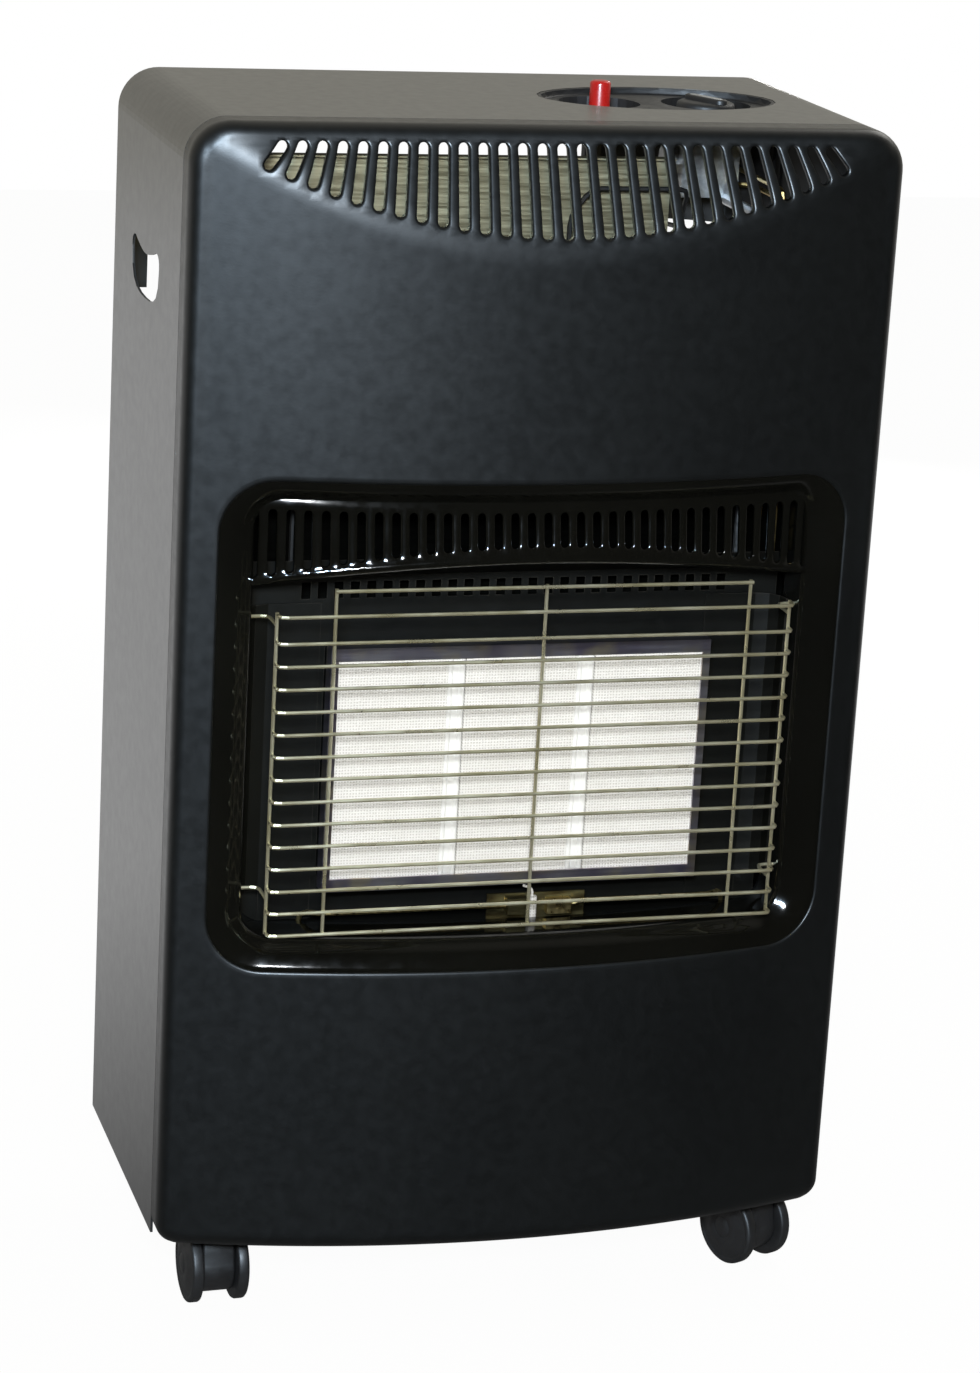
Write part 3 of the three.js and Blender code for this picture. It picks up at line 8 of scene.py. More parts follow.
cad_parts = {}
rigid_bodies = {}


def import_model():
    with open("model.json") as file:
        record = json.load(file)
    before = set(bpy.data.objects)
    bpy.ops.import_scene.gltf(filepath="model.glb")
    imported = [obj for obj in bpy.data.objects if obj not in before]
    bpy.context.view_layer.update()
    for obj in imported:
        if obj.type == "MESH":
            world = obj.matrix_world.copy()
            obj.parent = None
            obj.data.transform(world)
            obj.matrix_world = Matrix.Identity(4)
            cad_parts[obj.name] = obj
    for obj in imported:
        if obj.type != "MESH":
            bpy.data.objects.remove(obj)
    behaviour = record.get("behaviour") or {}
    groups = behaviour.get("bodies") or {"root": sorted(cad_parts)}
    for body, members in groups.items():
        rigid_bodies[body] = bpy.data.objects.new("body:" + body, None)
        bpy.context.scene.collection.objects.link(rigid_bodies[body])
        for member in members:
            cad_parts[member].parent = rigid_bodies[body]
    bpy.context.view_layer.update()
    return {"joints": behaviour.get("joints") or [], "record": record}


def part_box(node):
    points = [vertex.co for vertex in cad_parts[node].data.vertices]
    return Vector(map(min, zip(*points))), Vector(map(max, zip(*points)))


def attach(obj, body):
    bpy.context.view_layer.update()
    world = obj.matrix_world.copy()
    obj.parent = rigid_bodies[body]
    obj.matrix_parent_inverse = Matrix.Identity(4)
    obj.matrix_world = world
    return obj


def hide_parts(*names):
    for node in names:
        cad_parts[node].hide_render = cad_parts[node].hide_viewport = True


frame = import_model()

MM = 0.001

# ---------------------------------------------------------------- camera

# fitted to the photograph
IMAGE_HEIGHT_PX = 1373
FOCAL_PX = 3732.8
SENSOR_MM = 36
CAMERA_AT = Vector((-0.62984, -2.08604, 1.01654))
YAW, PITCH, ROLL = (math.radians(a) for a in (16.93, 16.61, 3.25))


def make_camera():
    data = bpy.data.cameras.new("camera")
    data.sensor_width = SENSOR_MM
    data.lens = FOCAL_PX / IMAGE_HEIGHT_PX * data.sensor_width
    camera = bpy.data.objects.new("camera", data)
    bpy.context.scene.collection.objects.link(camera)
    forward = Vector(
        (math.sin(YAW) * math.cos(PITCH), math.cos(YAW) * math.cos(PITCH), -math.sin(PITCH))
    )
    level = Vector((math.cos(YAW), -math.sin(YAW), 0))
    upright = level.cross(forward)
    right = math.cos(ROLL) * level + math.sin(ROLL) * upright
    up = math.cos(ROLL) * upright - math.sin(ROLL) * level
    camera.matrix_world = Matrix.Translation(CAMERA_AT) @ Matrix(
        (right, up, -forward)
    ).transposed().to_4x4()
    bpy.context.scene.camera = camera


make_camera()

# ---------------------------------------------------------------- shader nodes


class Nodes:
    """Adds nodes to a shader tree and joins them."""

    def __init__(self, tree):
        self.tree = tree

    def node(self, kind, **settings):
        item = self.tree.nodes.new("ShaderNode" + kind)
        for key, value in settings.items():
            setattr(item, key, value)
        return item

    def join(self, source, target):
        self.tree.links.new(source, target)

    def parts(self, source):
        """Splits a vector; the result is indexed by X, Y and Z."""
        item = self.node("SeparateXYZ")
        self.join(source, item.inputs[0])
        return item.outputs

    def ranged(self, source, low, high, start=0.3, end=0.7):
        item = self.node("MapRange")
        item.inputs["From Min"].default_value = start
        item.inputs["From Max"].default_value = end
        item.inputs["To Min"].default_value = low
        item.inputs["To Max"].default_value = high
        self.join(source, item.inputs["Value"])
        return item.outputs[0]

    def mixed(self, share, first, second):
        item = self.node("Mix", data_type="RGBA")
        self.join(share, item.inputs[0])
        for value, target in ((first, item.inputs[6]), (second, item.inputs[7])):
            if isinstance(value, tuple):
                target.default_value = (*value, 1)
            else:
                self.join(value, target)
        return item.outputs[2]

    def maths(self, operation, first, second):
        item = self.node("Math", operation=operation)
        for value, target in ((first, item.inputs[0]), (second, item.inputs[1])):
            if isinstance(value, (int, float)):
                target.default_value = value
            else:
                self.join(value, target)
        return item.outputs[0]


# ---------------------------------------------------------------- light

# strength of the surroundings: to shiny surfaces ahead and behind, and to all others
ROOM_AHEAD, ROOM_BEHIND, ROOM_OTHERS = 0.02, 0.5, 0.4
ROOM_TURN = (-0.45, 0.35)
ROOM_TINT, WHITE = (1, 0.965, 0.85), (1, 1, 1)


def make_world():
    """White to the camera, dim and warm to the object, and dark ahead in its reflections."""
    world = bpy.data.worlds.new("world")
    bpy.context.scene.world = world
    world.use_nodes = True
    back = world.node_tree.nodes["Background"]
    sky = Nodes(world.node_tree)
    path = sky.node("LightPath").outputs
    facing = sky.parts(sky.node("TexCoord").outputs["Generated"])["Y"]
    lit = sky.node("Mix")
    lit.inputs[2].default_value = ROOM_OTHERS
    sky.join(path["Is Glossy Ray"], lit.inputs[0])
    sky.join(sky.ranged(facing, ROOM_AHEAD, ROOM_BEHIND, *ROOM_TURN), lit.inputs[3])
    seen = sky.maths("MAXIMUM", path["Is Camera Ray"], path["Is Transmission Ray"])
    sky.join(sky.maths("MAXIMUM", seen, lit.outputs[0]), back.inputs["Strength"])
    sky.join(sky.mixed(seen, ROOM_TINT, WHITE), back.inputs["Color"])


def lamp(name, at, target, size, power, color, sheen_only=False):
    data = bpy.data.lights.new(name, "AREA")
    data.size = size
    data.energy = power
    data.color = color
    item = bpy.data.objects.new(name, data)
    item.visible_diffuse = not sheen_only
    item.visible_camera = False
    item.location = at
    item.rotation_euler = (Vector(target) - Vector(at)).to_track_quat("-Z", "Y").to_euler()
    bpy.context.scene.collection.objects.link(item)


FRONT_MIDDLE = (-0.05, -0.1, 0.45)

make_world()
lamp(
    "key", at=(-0.62, -2.1, 1.22), target=FRONT_MIDDLE,
    size=0.22, power=41, color=(0.96, 0.98, 1.0),
)
lamp(
    "key_sheen", at=(-0.80, -2.05, 1.24), target=FRONT_MIDDLE,
    size=0.26, power=80, color=(0.56, 0.78, 1.0), sheen_only=True,
)
lamp(
    "fill", at=(1.6, 0.9, 2.0), target=(0, 0, 0.3),
    size=1.2, power=14, color=(1.0, 0.98, 0.94),
)
lamp(
    "rear_fill", at=(0.75, 2.2, 0.38), target=(0.05, 0.1, 0.38),
    size=0.55, power=26, color=(1.0, 0.99, 0.97),
)

bpy.context.scene.view_settings.view_transform = "Standard"

FLOOR_HALF = 4.0
FLOOR_GREY = (0.9, 0.9, 0.9, 1)
FLOOR_AHEAD, FLOOR_BEHIND = 0.02, 0.8  # its glow in reflections
FLOOR_TURN = (-0.2, 0.7)
FLOOR_GLOW_SHARE = 0.965  # to the camera; what is left takes the shadow


def make_floor():
    """A white floor with the object's faint shadow, dark ahead of the object in reflections."""
    mesh = bpy.data.meshes.new("floor")
    corners = [(-1, -1), (1, -1), (1, 1), (-1, 1)]
    mesh.from_pydata([(x * FLOOR_HALF, y * FLOOR_HALF, 0) for x, y in corners], [], [(0, 1, 2, 3)])
    floor = bpy.data.objects.new("floor", mesh)
    bpy.context.scene.collection.objects.link(floor)
    finish = bpy.data.materials.new("floor")
    finish.use_nodes = True
    finish.node_tree.nodes.clear()
    ground = Nodes(finish.node_tree)
    matt = ground.node("BsdfDiffuse")
    matt.inputs["Color"].default_value = FLOOR_GREY
    glow = ground.node("Emission")
    path = ground.node("LightPath").outputs
    place = ground.parts(ground.node("TexCoord").outputs["Object"])["Y"]
    behind = ground.ranged(place, FLOOR_AHEAD, FLOOR_BEHIND, *FLOOR_TURN)
    ground.join(ground.maths("MAXIMUM", path["Is Camera Ray"], behind), glow.inputs["Strength"])
    seen = ground.maths("MULTIPLY", path["Is Camera Ray"], FLOOR_GLOW_SHARE)
    mix = ground.node("MixShader")
    ground.join(ground.maths("MAXIMUM", seen, path["Is Glossy Ray"]), mix.inputs[0])
    ground.join(matt.outputs[0], mix.inputs[1])
    ground.join(glow.outputs[0], mix.inputs[2])
    ground.join(mix.outputs[0], ground.node("OutputMaterial").inputs["Surface"])
    mesh.materials.append(finish)


make_floor()

# ---------------------------------------------------------------- finishes


class Finish(Nodes):
    """A procedural material; lengths are metres in object space."""

    def __init__(self, name, roughness=0.5, metallic=0.0):
        self.material = bpy.data.materials.new(name)
        self.material.use_nodes = True
        super().__init__(self.material.node_tree)
        self.shader = self.tree.nodes["Principled BSDF"]
        self.shader.inputs["Roughness"].default_value = roughness
        self.shader.inputs["Metallic"].default_value = metallic
        self.place = self.node("TexCoord").outputs["Object"]
        self.normal = None

    def stretched(self, scale):
        mapping = self.node("Mapping")
        mapping.inputs["Scale"].default_value = scale
        self.join(self.place, mapping.inputs["Vector"])
        return mapping.outputs[0]

    def noise(self, scale, detail=2.0, stretch=None):
        item = self.node("TexNoise")
        item.inputs["Scale"].default_value = scale
        item.inputs["Detail"].default_value = detail
        self.join(self.stretched(stretch) if stretch else self.place, item.inputs["Vector"])
        return item.outputs["Fac"]

    def bump(self, height, depth, strength=1.0):
        item = self.node("Bump")
        item.inputs["Distance"].default_value = depth
        item.inputs["Strength"].default_value = strength
        self.join(height, item.inputs["Height"])
        if self.normal:
            self.join(self.normal, item.inputs["Normal"])
        self.normal = item.outputs[0]
        self.join(self.normal, self.shader.inputs["Normal"])

    def edges(self, radius):
        """1 along the edges of a shape, 0 elsewhere."""
        bevel = self.node("Bevel", samples=4)
        bevel.inputs["Radius"].default_value = radius
        here = self.node("NewGeometry").outputs["Normal"]
        same = self.node("VectorMath", operation="DOT_PRODUCT")
        self.join(bevel.outputs[0], same.inputs[0])
        self.join(here, same.inputs[1])
        return self.ranged(same.outputs["Value"], 1.0, 0.0, 0.80, 0.99)

    def color(self, source):
        self.join(source, self.shader.inputs["Base Color"])

    def roughness(self, source):
        self.join(source, self.shader.inputs["Roughness"])


def sheet_finish(
    name, dark, light, rough, metallic=0.0, grain=1500, grain_depth=2e-5, wear=None, waves=5e-5,
    specular=0.5,
):
    """Painted or bare sheet: mottled tone, fine grain, soft waves and worn edges."""
    finish = Finish(name, metallic=metallic)
    finish.shader.inputs["Specular IOR Level"].default_value = specular
    tone = finish.mixed(finish.ranged(finish.noise(9, 4), 0, 1), dark, light)
    if wear:
        patches = finish.ranged(finish.noise(60, 3), 0, 1)
        worn = finish.maths("MULTIPLY", finish.edges(SHEET_WEAR), patches)
        tone = finish.mixed(worn, tone, wear)
    finish.color(tone)
    finish.roughness(finish.ranged(finish.noise(140, 4), rough - 0.03, rough + 0.03))
    finish.bump(finish.noise(grain, 2), grain_depth)
    finish.bump(finish.noise(22, 2), waves, 0.5)
    return finish


SHEET_WEAR, MOULDED_WEAR = 0.0012, 0.0008  # reach of the rubbed edges
# the shell's upper bends: their middle, sideways and up, and the radius where its inside starts
BEND_X, BEND_Z, INNER_BEND = 0.186, 0.698, 0.0234
INSIDE_ROUGHNESS, OUTSIDE_COAT = 0.9, 0.6
# painted shade: the near-black colour of the sheet below a height inside the cabinet, and how unevenly
# its edge runs
PAINTED_SHADE = (0.006, 0.006, 0.005)
PAINTED_SHADE_DRIFT = 0.006
HOLE_PITCH = 0.0018  # of the burner's ceramic


def shell_finish():
    """The shell's smoother coat outside, and the dull unpolished side of the sheet inside."""
    finish = sheet_finish(
        "satin_shell_coat", (0.0060, 0.0060, 0.0056), (0.0085, 0.0085, 0.0080), 0.38,
        grain=1300, grain_depth=1.2e-5, wear=(0.045, 0.045, 0.044),
    )
    place = finish.parts(finish.place)
    sideways = finish.maths("ABSOLUTE", place["X"], 0)
    beyond = [
        finish.maths("MAXIMUM", finish.maths("SUBTRACT", reach, middle), 0)
        for reach, middle in ((sideways, BEND_X), (place["Z"], BEND_Z))
    ]
    squares = [finish.maths("MULTIPLY", value, value) for value in beyond]
    inside = finish.maths("LESS_THAN", finish.maths("ADD", *squares), INNER_BEND**2)
    dull = finish.maths("MULTIPLY", inside, INSIDE_ROUGHNESS)
    finish.roughness(finish.maths("MAXIMUM", dull, finish.ranged(finish.noise(140, 4), 0.35, 0.41)))
    finish.join(
        finish.maths("MULTIPLY", finish.maths("SUBTRACT", 1, inside), OUTSIDE_COAT),
        finish.shader.inputs["Coat Weight"],
    )
    finish.shader.inputs["Coat Roughness"].default_value = 0.3
    return finish


def brushed_finish(name, dark, light, rough, stretch, metallic=1.0, shaded_below=None):
    """Rolled or brushed bare metal with streaks along one direction, and painted shade that darkens it
    below a height.
    """
    finish = Finish(name, metallic=metallic)
    streaks = finish.noise(1, 5, stretch)
    tone = finish.mixed(finish.ranged(streaks, 0, 1), dark, light)
    stained = finish.ranged(finish.noise(14, 4), 0, 0.5, 0.5, 0.75)
    tone = finish.mixed(stained, tone, tuple(c * 0.62 for c in dark))
    # painted shade: below the given heights the tone turns near black, standing for the shade inside the
    # cabinet
    if shaded_below:
        drift = finish.ranged(finish.noise(12, 2), -PAINTED_SHADE_DRIFT, PAINTED_SHADE_DRIFT)
        height = finish.maths("ADD", finish.parts(finish.place)["Z"], drift)
        tone = finish.mixed(finish.ranged(height, 0, 1, *shaded_below), PAINTED_SHADE, tone)
    finish.color(tone)
    finish.roughness(finish.ranged(streaks, rough - 0.08, rough + 0.1))
    finish.bump(streaks, 1.2e-5)
    return finish


def moulded_finish(name, dark, light, rough, grain=2600, depth=1.5e-5):
    """Moulded plastic: faint flow marks, a fine spark-eroded grain and rubbed edges."""
    finish = Finish(name)
    tone = finish.mixed(finish.ranged(finish.noise(35, 3), 0, 1), dark, light)
    rubbed = finish.maths("MULTIPLY", finish.edges(MOULDED_WEAR), 0.5)
    finish.color(finish.mixed(rubbed, tone, tuple(c * 1.8 for c in light)))
    finish.roughness(finish.ranged(finish.noise(180, 3), rough - 0.06, rough + 0.08))
    finish.bump(finish.noise(grain, 2), depth)
    return finish


def ceramic_finish():
    """Pierced ceramic: rows of fine burner holes with painted shade in them, and a little scorching."""
    finish = Finish("pierced_ceramic", roughness=0.85)
    holes = finish.node("TexVoronoi", feature="F1")
    holes.inputs["Scale"].default_value = 1 / HOLE_PITCH
    holes.inputs["Randomness"].default_value = 0.12
    finish.join(finish.stretched((1, 0, 1)), holes.inputs["Vector"])
    holes_and_shade = finish.ranged(holes.outputs["Distance"], 1, 0, 0.22, 0.34)
    tone = finish.mixed(finish.ranged(finish.noise(30, 4), 0, 1), (0.80, 0.79, 0.76), (0.88, 0.87, 0.85))
    rows = finish.noise(1, 3, (8, 8, 900))
    tone = finish.mixed(finish.ranged(rows, 0, 0.35), tone, (0.70, 0.68, 0.64))
    # painted shade: the holes are coloured dark, standing for the shade in their depths
    finish.color(finish.mixed(finish.maths("MULTIPLY", holes_and_shade, 0.45), tone, (0.36, 0.33, 0.30)))
    finish.roughness(finish.ranged(finish.noise(400, 2), 0.78, 0.92))
    finish.bump(holes_and_shade, -0.0003, 0.6)
    finish.bump(finish.noise(1600, 3), 4e-5)
    return finish


def tinted_finish():
    """Bright steel that the burner's heat has coloured straw, purple and grey."""
    finish = Finish("heat_tinted_steel", metallic=1.0)
    heat = finish.noise(22, 3)
    tone = finish.mixed(finish.ranged(heat, 0, 1, 0.35, 0.6), (0.22, 0.18, 0.25), (0.42, 0.38, 0.40))
    straw = finish.ranged(finish.noise(48, 2), 0, 0.7, 0.5, 0.7)
    finish.color(finish.mixed(straw, tone, (0.55, 0.45, 0.30)))
    finish.roughness(finish.ranged(finish.noise(1, 4, (20, 900, 900)), 0.28, 0.38))
    finish.bump(finish.noise(1, 4, (20, 900, 900)), 3e-6)
    return finish


def wire_finish():
    """Plated wire: warm and bright, with dull bands where it has been hot."""
    finish = Finish("plated_wire", metallic=0.8)
    hot = finish.ranged(finish.noise(30, 3), 0, 1)
    finish.color(finish.mixed(hot, (0.52, 0.47, 0.28), (0.70, 0.66, 0.48)))
    finish.roughness(finish.ranged(finish.noise(60, 3), 0.26, 0.36))
    finish.bump(finish.noise(500, 2), 2e-6)
    return finish


FINISHES = {
    "satin_black": sheet_finish(
        "satin_powder_coat", (0.0030, 0.0034, 0.0034), (0.0044, 0.0050, 0.0050), 0.38,
        grain=1300, grain_depth=2e-5, wear=(0.030, 0.031, 0.032),
    ),
    "enamel_black": sheet_finish(
        "gloss_enamel", (0.0028, 0.0028, 0.0022), (0.0045, 0.0046, 0.0036), 0.10,
        grain=260, grain_depth=2e-6, waves=1.2e-5,
    ),
    "dark_steel": sheet_finish(
        "heat_darkened_steel", (0.003, 0.003, 0.002), (0.006, 0.006, 0.004), 0.45,
        metallic=0.05, grain=700, wear=(0.04, 0.038, 0.032), specular=0.2,
    ),
    "wire": wire_finish(),
    "tinted_steel": tinted_finish(),
    "plated_steel": brushed_finish(
        "yellow_plated_steel", (0.50, 0.44, 0.27), (0.70, 0.65, 0.44), 0.42,
        # painted shade darkens this steel below 0.53 to 0.65 m
        stretch=(30, 30, 700), shaded_below=(0.53, 0.65),
    ),
    "zinc_steel": brushed_finish(
        "zinc_plated_steel", (0.42, 0.43, 0.44), (0.60, 0.61, 0.62), 0.42, stretch=(700, 40, 40)
    ),
    "ceramic_white": ceramic_finish(),
    "brass": brushed_finish(
        "brass", (0.50, 0.36, 0.14), (0.68, 0.52, 0.24), 0.32, stretch=(300, 300, 300)
    ),
    "aluminium": brushed_finish(
        "cast_aluminium", (0.46, 0.47, 0.48), (0.62, 0.63, 0.64), 0.42, stretch=(500, 500, 500)
    ),
    "plastic_black": moulded_finish("black_plastic", (0.008, 0.008, 0.0085), (0.014, 0.014, 0.015), 0.5),
    "lead_black": moulded_finish("lead_sleeve", (0.008, 0.008, 0.008), (0.014, 0.014, 0.014), 0.55),
    "button_red": moulded_finish("red_plastic", (0.50, 0.012, 0.010), (0.62, 0.020, 0.016), 0.28),
}

SPACER_FINISH = sheet_finish(
    "spacer_ceramic", (0.86, 0.86, 0.84), (0.92, 0.92, 0.91), 0.8, grain=900, grain_depth=4e-5
)
POINTER_FINISH = moulded_finish("grey_plastic", (0.30, 0.31, 0.31), (0.38, 0.39, 0.39), 0.4)
NODE_FINISHES = {
    "cabinet_shell": shell_finish(),
    "pilot_burner": brushed_finish(
        "stained_brass", (0.10, 0.075, 0.035), (0.22, 0.18, 0.08), 0.4, stretch=(60, 300, 300)
    ),
}

for part in frame["record"]["subparts"]:
    chosen = NODE_FINISHES.get(part["node"], FINISHES[part["material_slot"]])
    for held in bpy.data.objects[part["node"]].material_slots:
        held.material = chosen.material

# ---------------------------------------------------------------- pieces


SHARP_ANGLE = math.radians(50)


def add_piece(name, vertices, faces, body, nodes, slot, thickness=0.0, finish=None):
    """Makes a piece from millimetres, on a body, in the place of the named solids if any."""
    mesh = bpy.data.meshes.new(name)
    mesh.from_pydata([tuple(c * MM for c in v) for v in vertices], [], faces)
    mesh.materials.append((finish or FINISHES[slot]).material)
    mesh.shade_smooth()
    mesh.set_sharp_from_angle(angle=SHARP_ANGLE)
    piece = bpy.data.objects.new(name, mesh)
    bpy.context.scene.collection.objects.link(piece)
    if thickness:
        shell = piece.modifiers.new("thickness", "SOLIDIFY")
        shell.thickness = thickness * MM
        shell.offset = -1
    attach(piece, body)
    if nodes:
        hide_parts(*nodes)
    return piece


def evenly(start, end, steps):
    """The values from start to end in equal steps, both ends included."""
    return [start + (end - start) * i / steps for i in range(steps + 1)]


# the cabinet's sizes in millimetres, as in the solids
HALF_WIDTH = 210
BOTTOM, TOP = 52, 722
SEAM = -71.5
PANEL_BACK = SEAM - 0.6
BULGE = 52
BOW_RADIUS = 707.17
EDGE_RADIUS = 9
FOOT_CORNER, HEAD_CORNER = 13, 24
LIP_DEPTH, LIP_Z = 26, TOP - 9
SCOOP_SLOPE = 26 / 55
CREASE_BLEND = 5.5
PANEL_SHEET = 1.3
WINDOW_HALF, WINDOW_LOW, WINDOW_HIGH, WINDOW_CORNER = 188, 229.5, 522.5, 32
RIM_SIDE = 18
LOUVRES, LOUVRE_PITCH, LOUVRE_HALF = 29, 12, 3
LOUVRE_HEAD_DROP, LOUVRE_MIDDLE_DROP, LOUVRE_END_DROP, LOUVRE_LEAN = 12.5, 57, 22.3, 0.955
VENTS, VENT_PITCH, VENT_HALF = 35, 9.8, 2.3
VENT_HEAD_DROP, VENT_FOOT_DROP, VENT_FOOT_FALL = 21, 36, 21
BROW_DROP, BROW_FALL = 48, 17
FAR = 99.0  # stands for the distance to a slot that isn't near


def face_y(x):
    return SEAM - BULGE + BOW_RADIUS - math.sqrt(BOW_RADIUS**2 - x**2)


def fallen(distance, radius):
    """How far a rounded edge has dropped back, at a distance from its rim."""
    if distance >= radius:
        return 0.0
    return radius - math.sqrt(max(radius**2 - (radius - distance) ** 2, 0))


def rounded_ring(half, low, high, low_radius, high_radius, arc_steps, side_steps, end_steps):
    """A closed loop round a rectangle with rounded corners, in x and z."""
    corners = [
        (half - high_radius, high - high_radius, high_radius, 0, end_steps),
        (high_radius - half, high - high_radius, high_radius, 1, side_steps),
        (low_radius - half, low + low_radius, low_radius, 2, end_steps),
        (half - low_radius, low + low_radius, low_radius, 3, side_steps),
    ]
    ring = []
    for i, (x, z, radius, quarter, steps) in enumerate(corners):
        arc = [
            (x + radius * math.cos(a), z + radius * math.sin(a))
            for a in evenly(quarter * math.pi / 2, (quarter + 1) * math.pi / 2, arc_steps)
        ]
        ring += arc
        nx, nz, nr, nq, _ = corners[(i + 1) % 4]
        start = (nx + nr * math.cos(nq * math.pi / 2), nz + nr * math.sin(nq * math.pi / 2))
        ring += [
            (arc[-1][0] + (start[0] - arc[-1][0]) * t, arc[-1][1] + (start[1] - arc[-1][1]) * t)
            for t in evenly(0, 1, steps)[1:-1]
        ]
    return ring


def inside_rectangle(x, z, half, low, high, low_radius, high_radius):
    """Depth of a point inside a rectangle with rounded corners; negative outside."""
    radius = low_radius if z < (low + high) / 2 else high_radius
    dx = abs(x) - (half - radius)
    dz = max(z - (high - radius), (low + radius) - z)
    if dx > 0 and dz > 0:
        return radius - math.hypot(dx, dz)
    return radius - max(dx, dz)


def slot_distance(x, z, slot):
    """Distance from a point to a slot's edge; negative inside it."""
    (ax, az), (bx, bz), half = slot
    along = (bx - ax, bz - az)
    share = ((x - ax) * along[0] + (z - az) * along[1]) / (along[0] ** 2 + along[1] ** 2)
    share = min(max(share, 0), 1)
    return math.hypot(x - ax - share * along[0], z - az - share * along[1]) - half


def slot_ring(slot, out, arc_steps=8, spacing=3.2):
    (ax, az), (bx, bz), half = slot
    radius = half + out
    heading = math.atan2(bz - az, bx - ax)
    runs = max(2, round(math.hypot(bx - ax, bz - az) / spacing))
    ring = []
    for (x, z), (nx, nz), turn in (((bx, bz), (ax, az), 0), ((ax, az), (bx, bz), math.pi)):
        arc = [
            (x + radius * math.cos(a), z + radius * math.sin(a))
            for a in evenly(heading + turn - math.pi / 2, heading + turn + math.pi / 2, arc_steps)
        ]
        ring += arc
        end = arc[-1]
        ring += [
            (end[0] + (nx - x) * t, end[1] + (nz - z) * t) for t in evenly(0, 1, runs)[1:-1]
        ]
    return ring


def pressed_sheet(loops, points, height, keep):
    """Triangulates loops and points in x and z; height gives each point its y."""
    flat, edges = [], []
    for loop in loops:
        first = len(flat)
        flat += loop
        edges += [(first + i, first + (i + 1) % len(loop)) for i in range(len(loop))]
    flat += points
    result = delaunay_2d_cdt([Vector(p) for p in flat], edges, [], 0, 1e-4)
    vertices, faces = result[0], result[2]
    kept = []
    for face in faces:
        x = sum(vertices[i].x for i in face) / len(face)
        z = sum(vertices[i].y for i in face) / len(face)
        if keep(x, z):
            kept.append(tuple(face))
    return [(v.x, height(v.x, v.y), v.y) for v in vertices], kept


def extend_rims(vertices, faces, reach):
    """Carries each open edge on towards the back; reach gives the new y at a point."""
    used = {}
    for face in faces:
        for a, b in zip(face, face[1:] + face[:1]):
            used[(a, b)] = True
    rims = [(a, b) for a, b in used if (b, a) not in used]
    vertices = list(vertices)
    moved = {}
    for a in {i for rim in rims for i in rim}:
        x, y, z = vertices[a]
        moved[a] = len(vertices)
        vertices.append((x, reach(x, y, z), z))
    return vertices, faces + [(b, a, moved[a], moved[b]) for a, b in rims]


def without_loose(vertices, faces):
    used = sorted({i for face in faces for i in face})
    place = {old: new for new, old in enumerate(used)}
    return [vertices[i] for i in used], [tuple(place[i] for i in face) for face in faces]


def louvre_slots():
    slots = []
    for i in range(LOUVRES):
        x = (i - (LOUVRES - 1) / 2) * LOUVRE_PITCH
        share = (x / (LOUVRE_PITCH * (LOUVRES - 1) / 2)) ** 2
        foot = TOP - LOUVRE_MIDDLE_DROP + (LOUVRE_MIDDLE_DROP - LOUVRE_END_DROP) * share
        slots.append(((x * LOUVRE_LEAN, TOP - LOUVRE_HEAD_DROP), (x, foot), LOUVRE_HALF))
    return slots


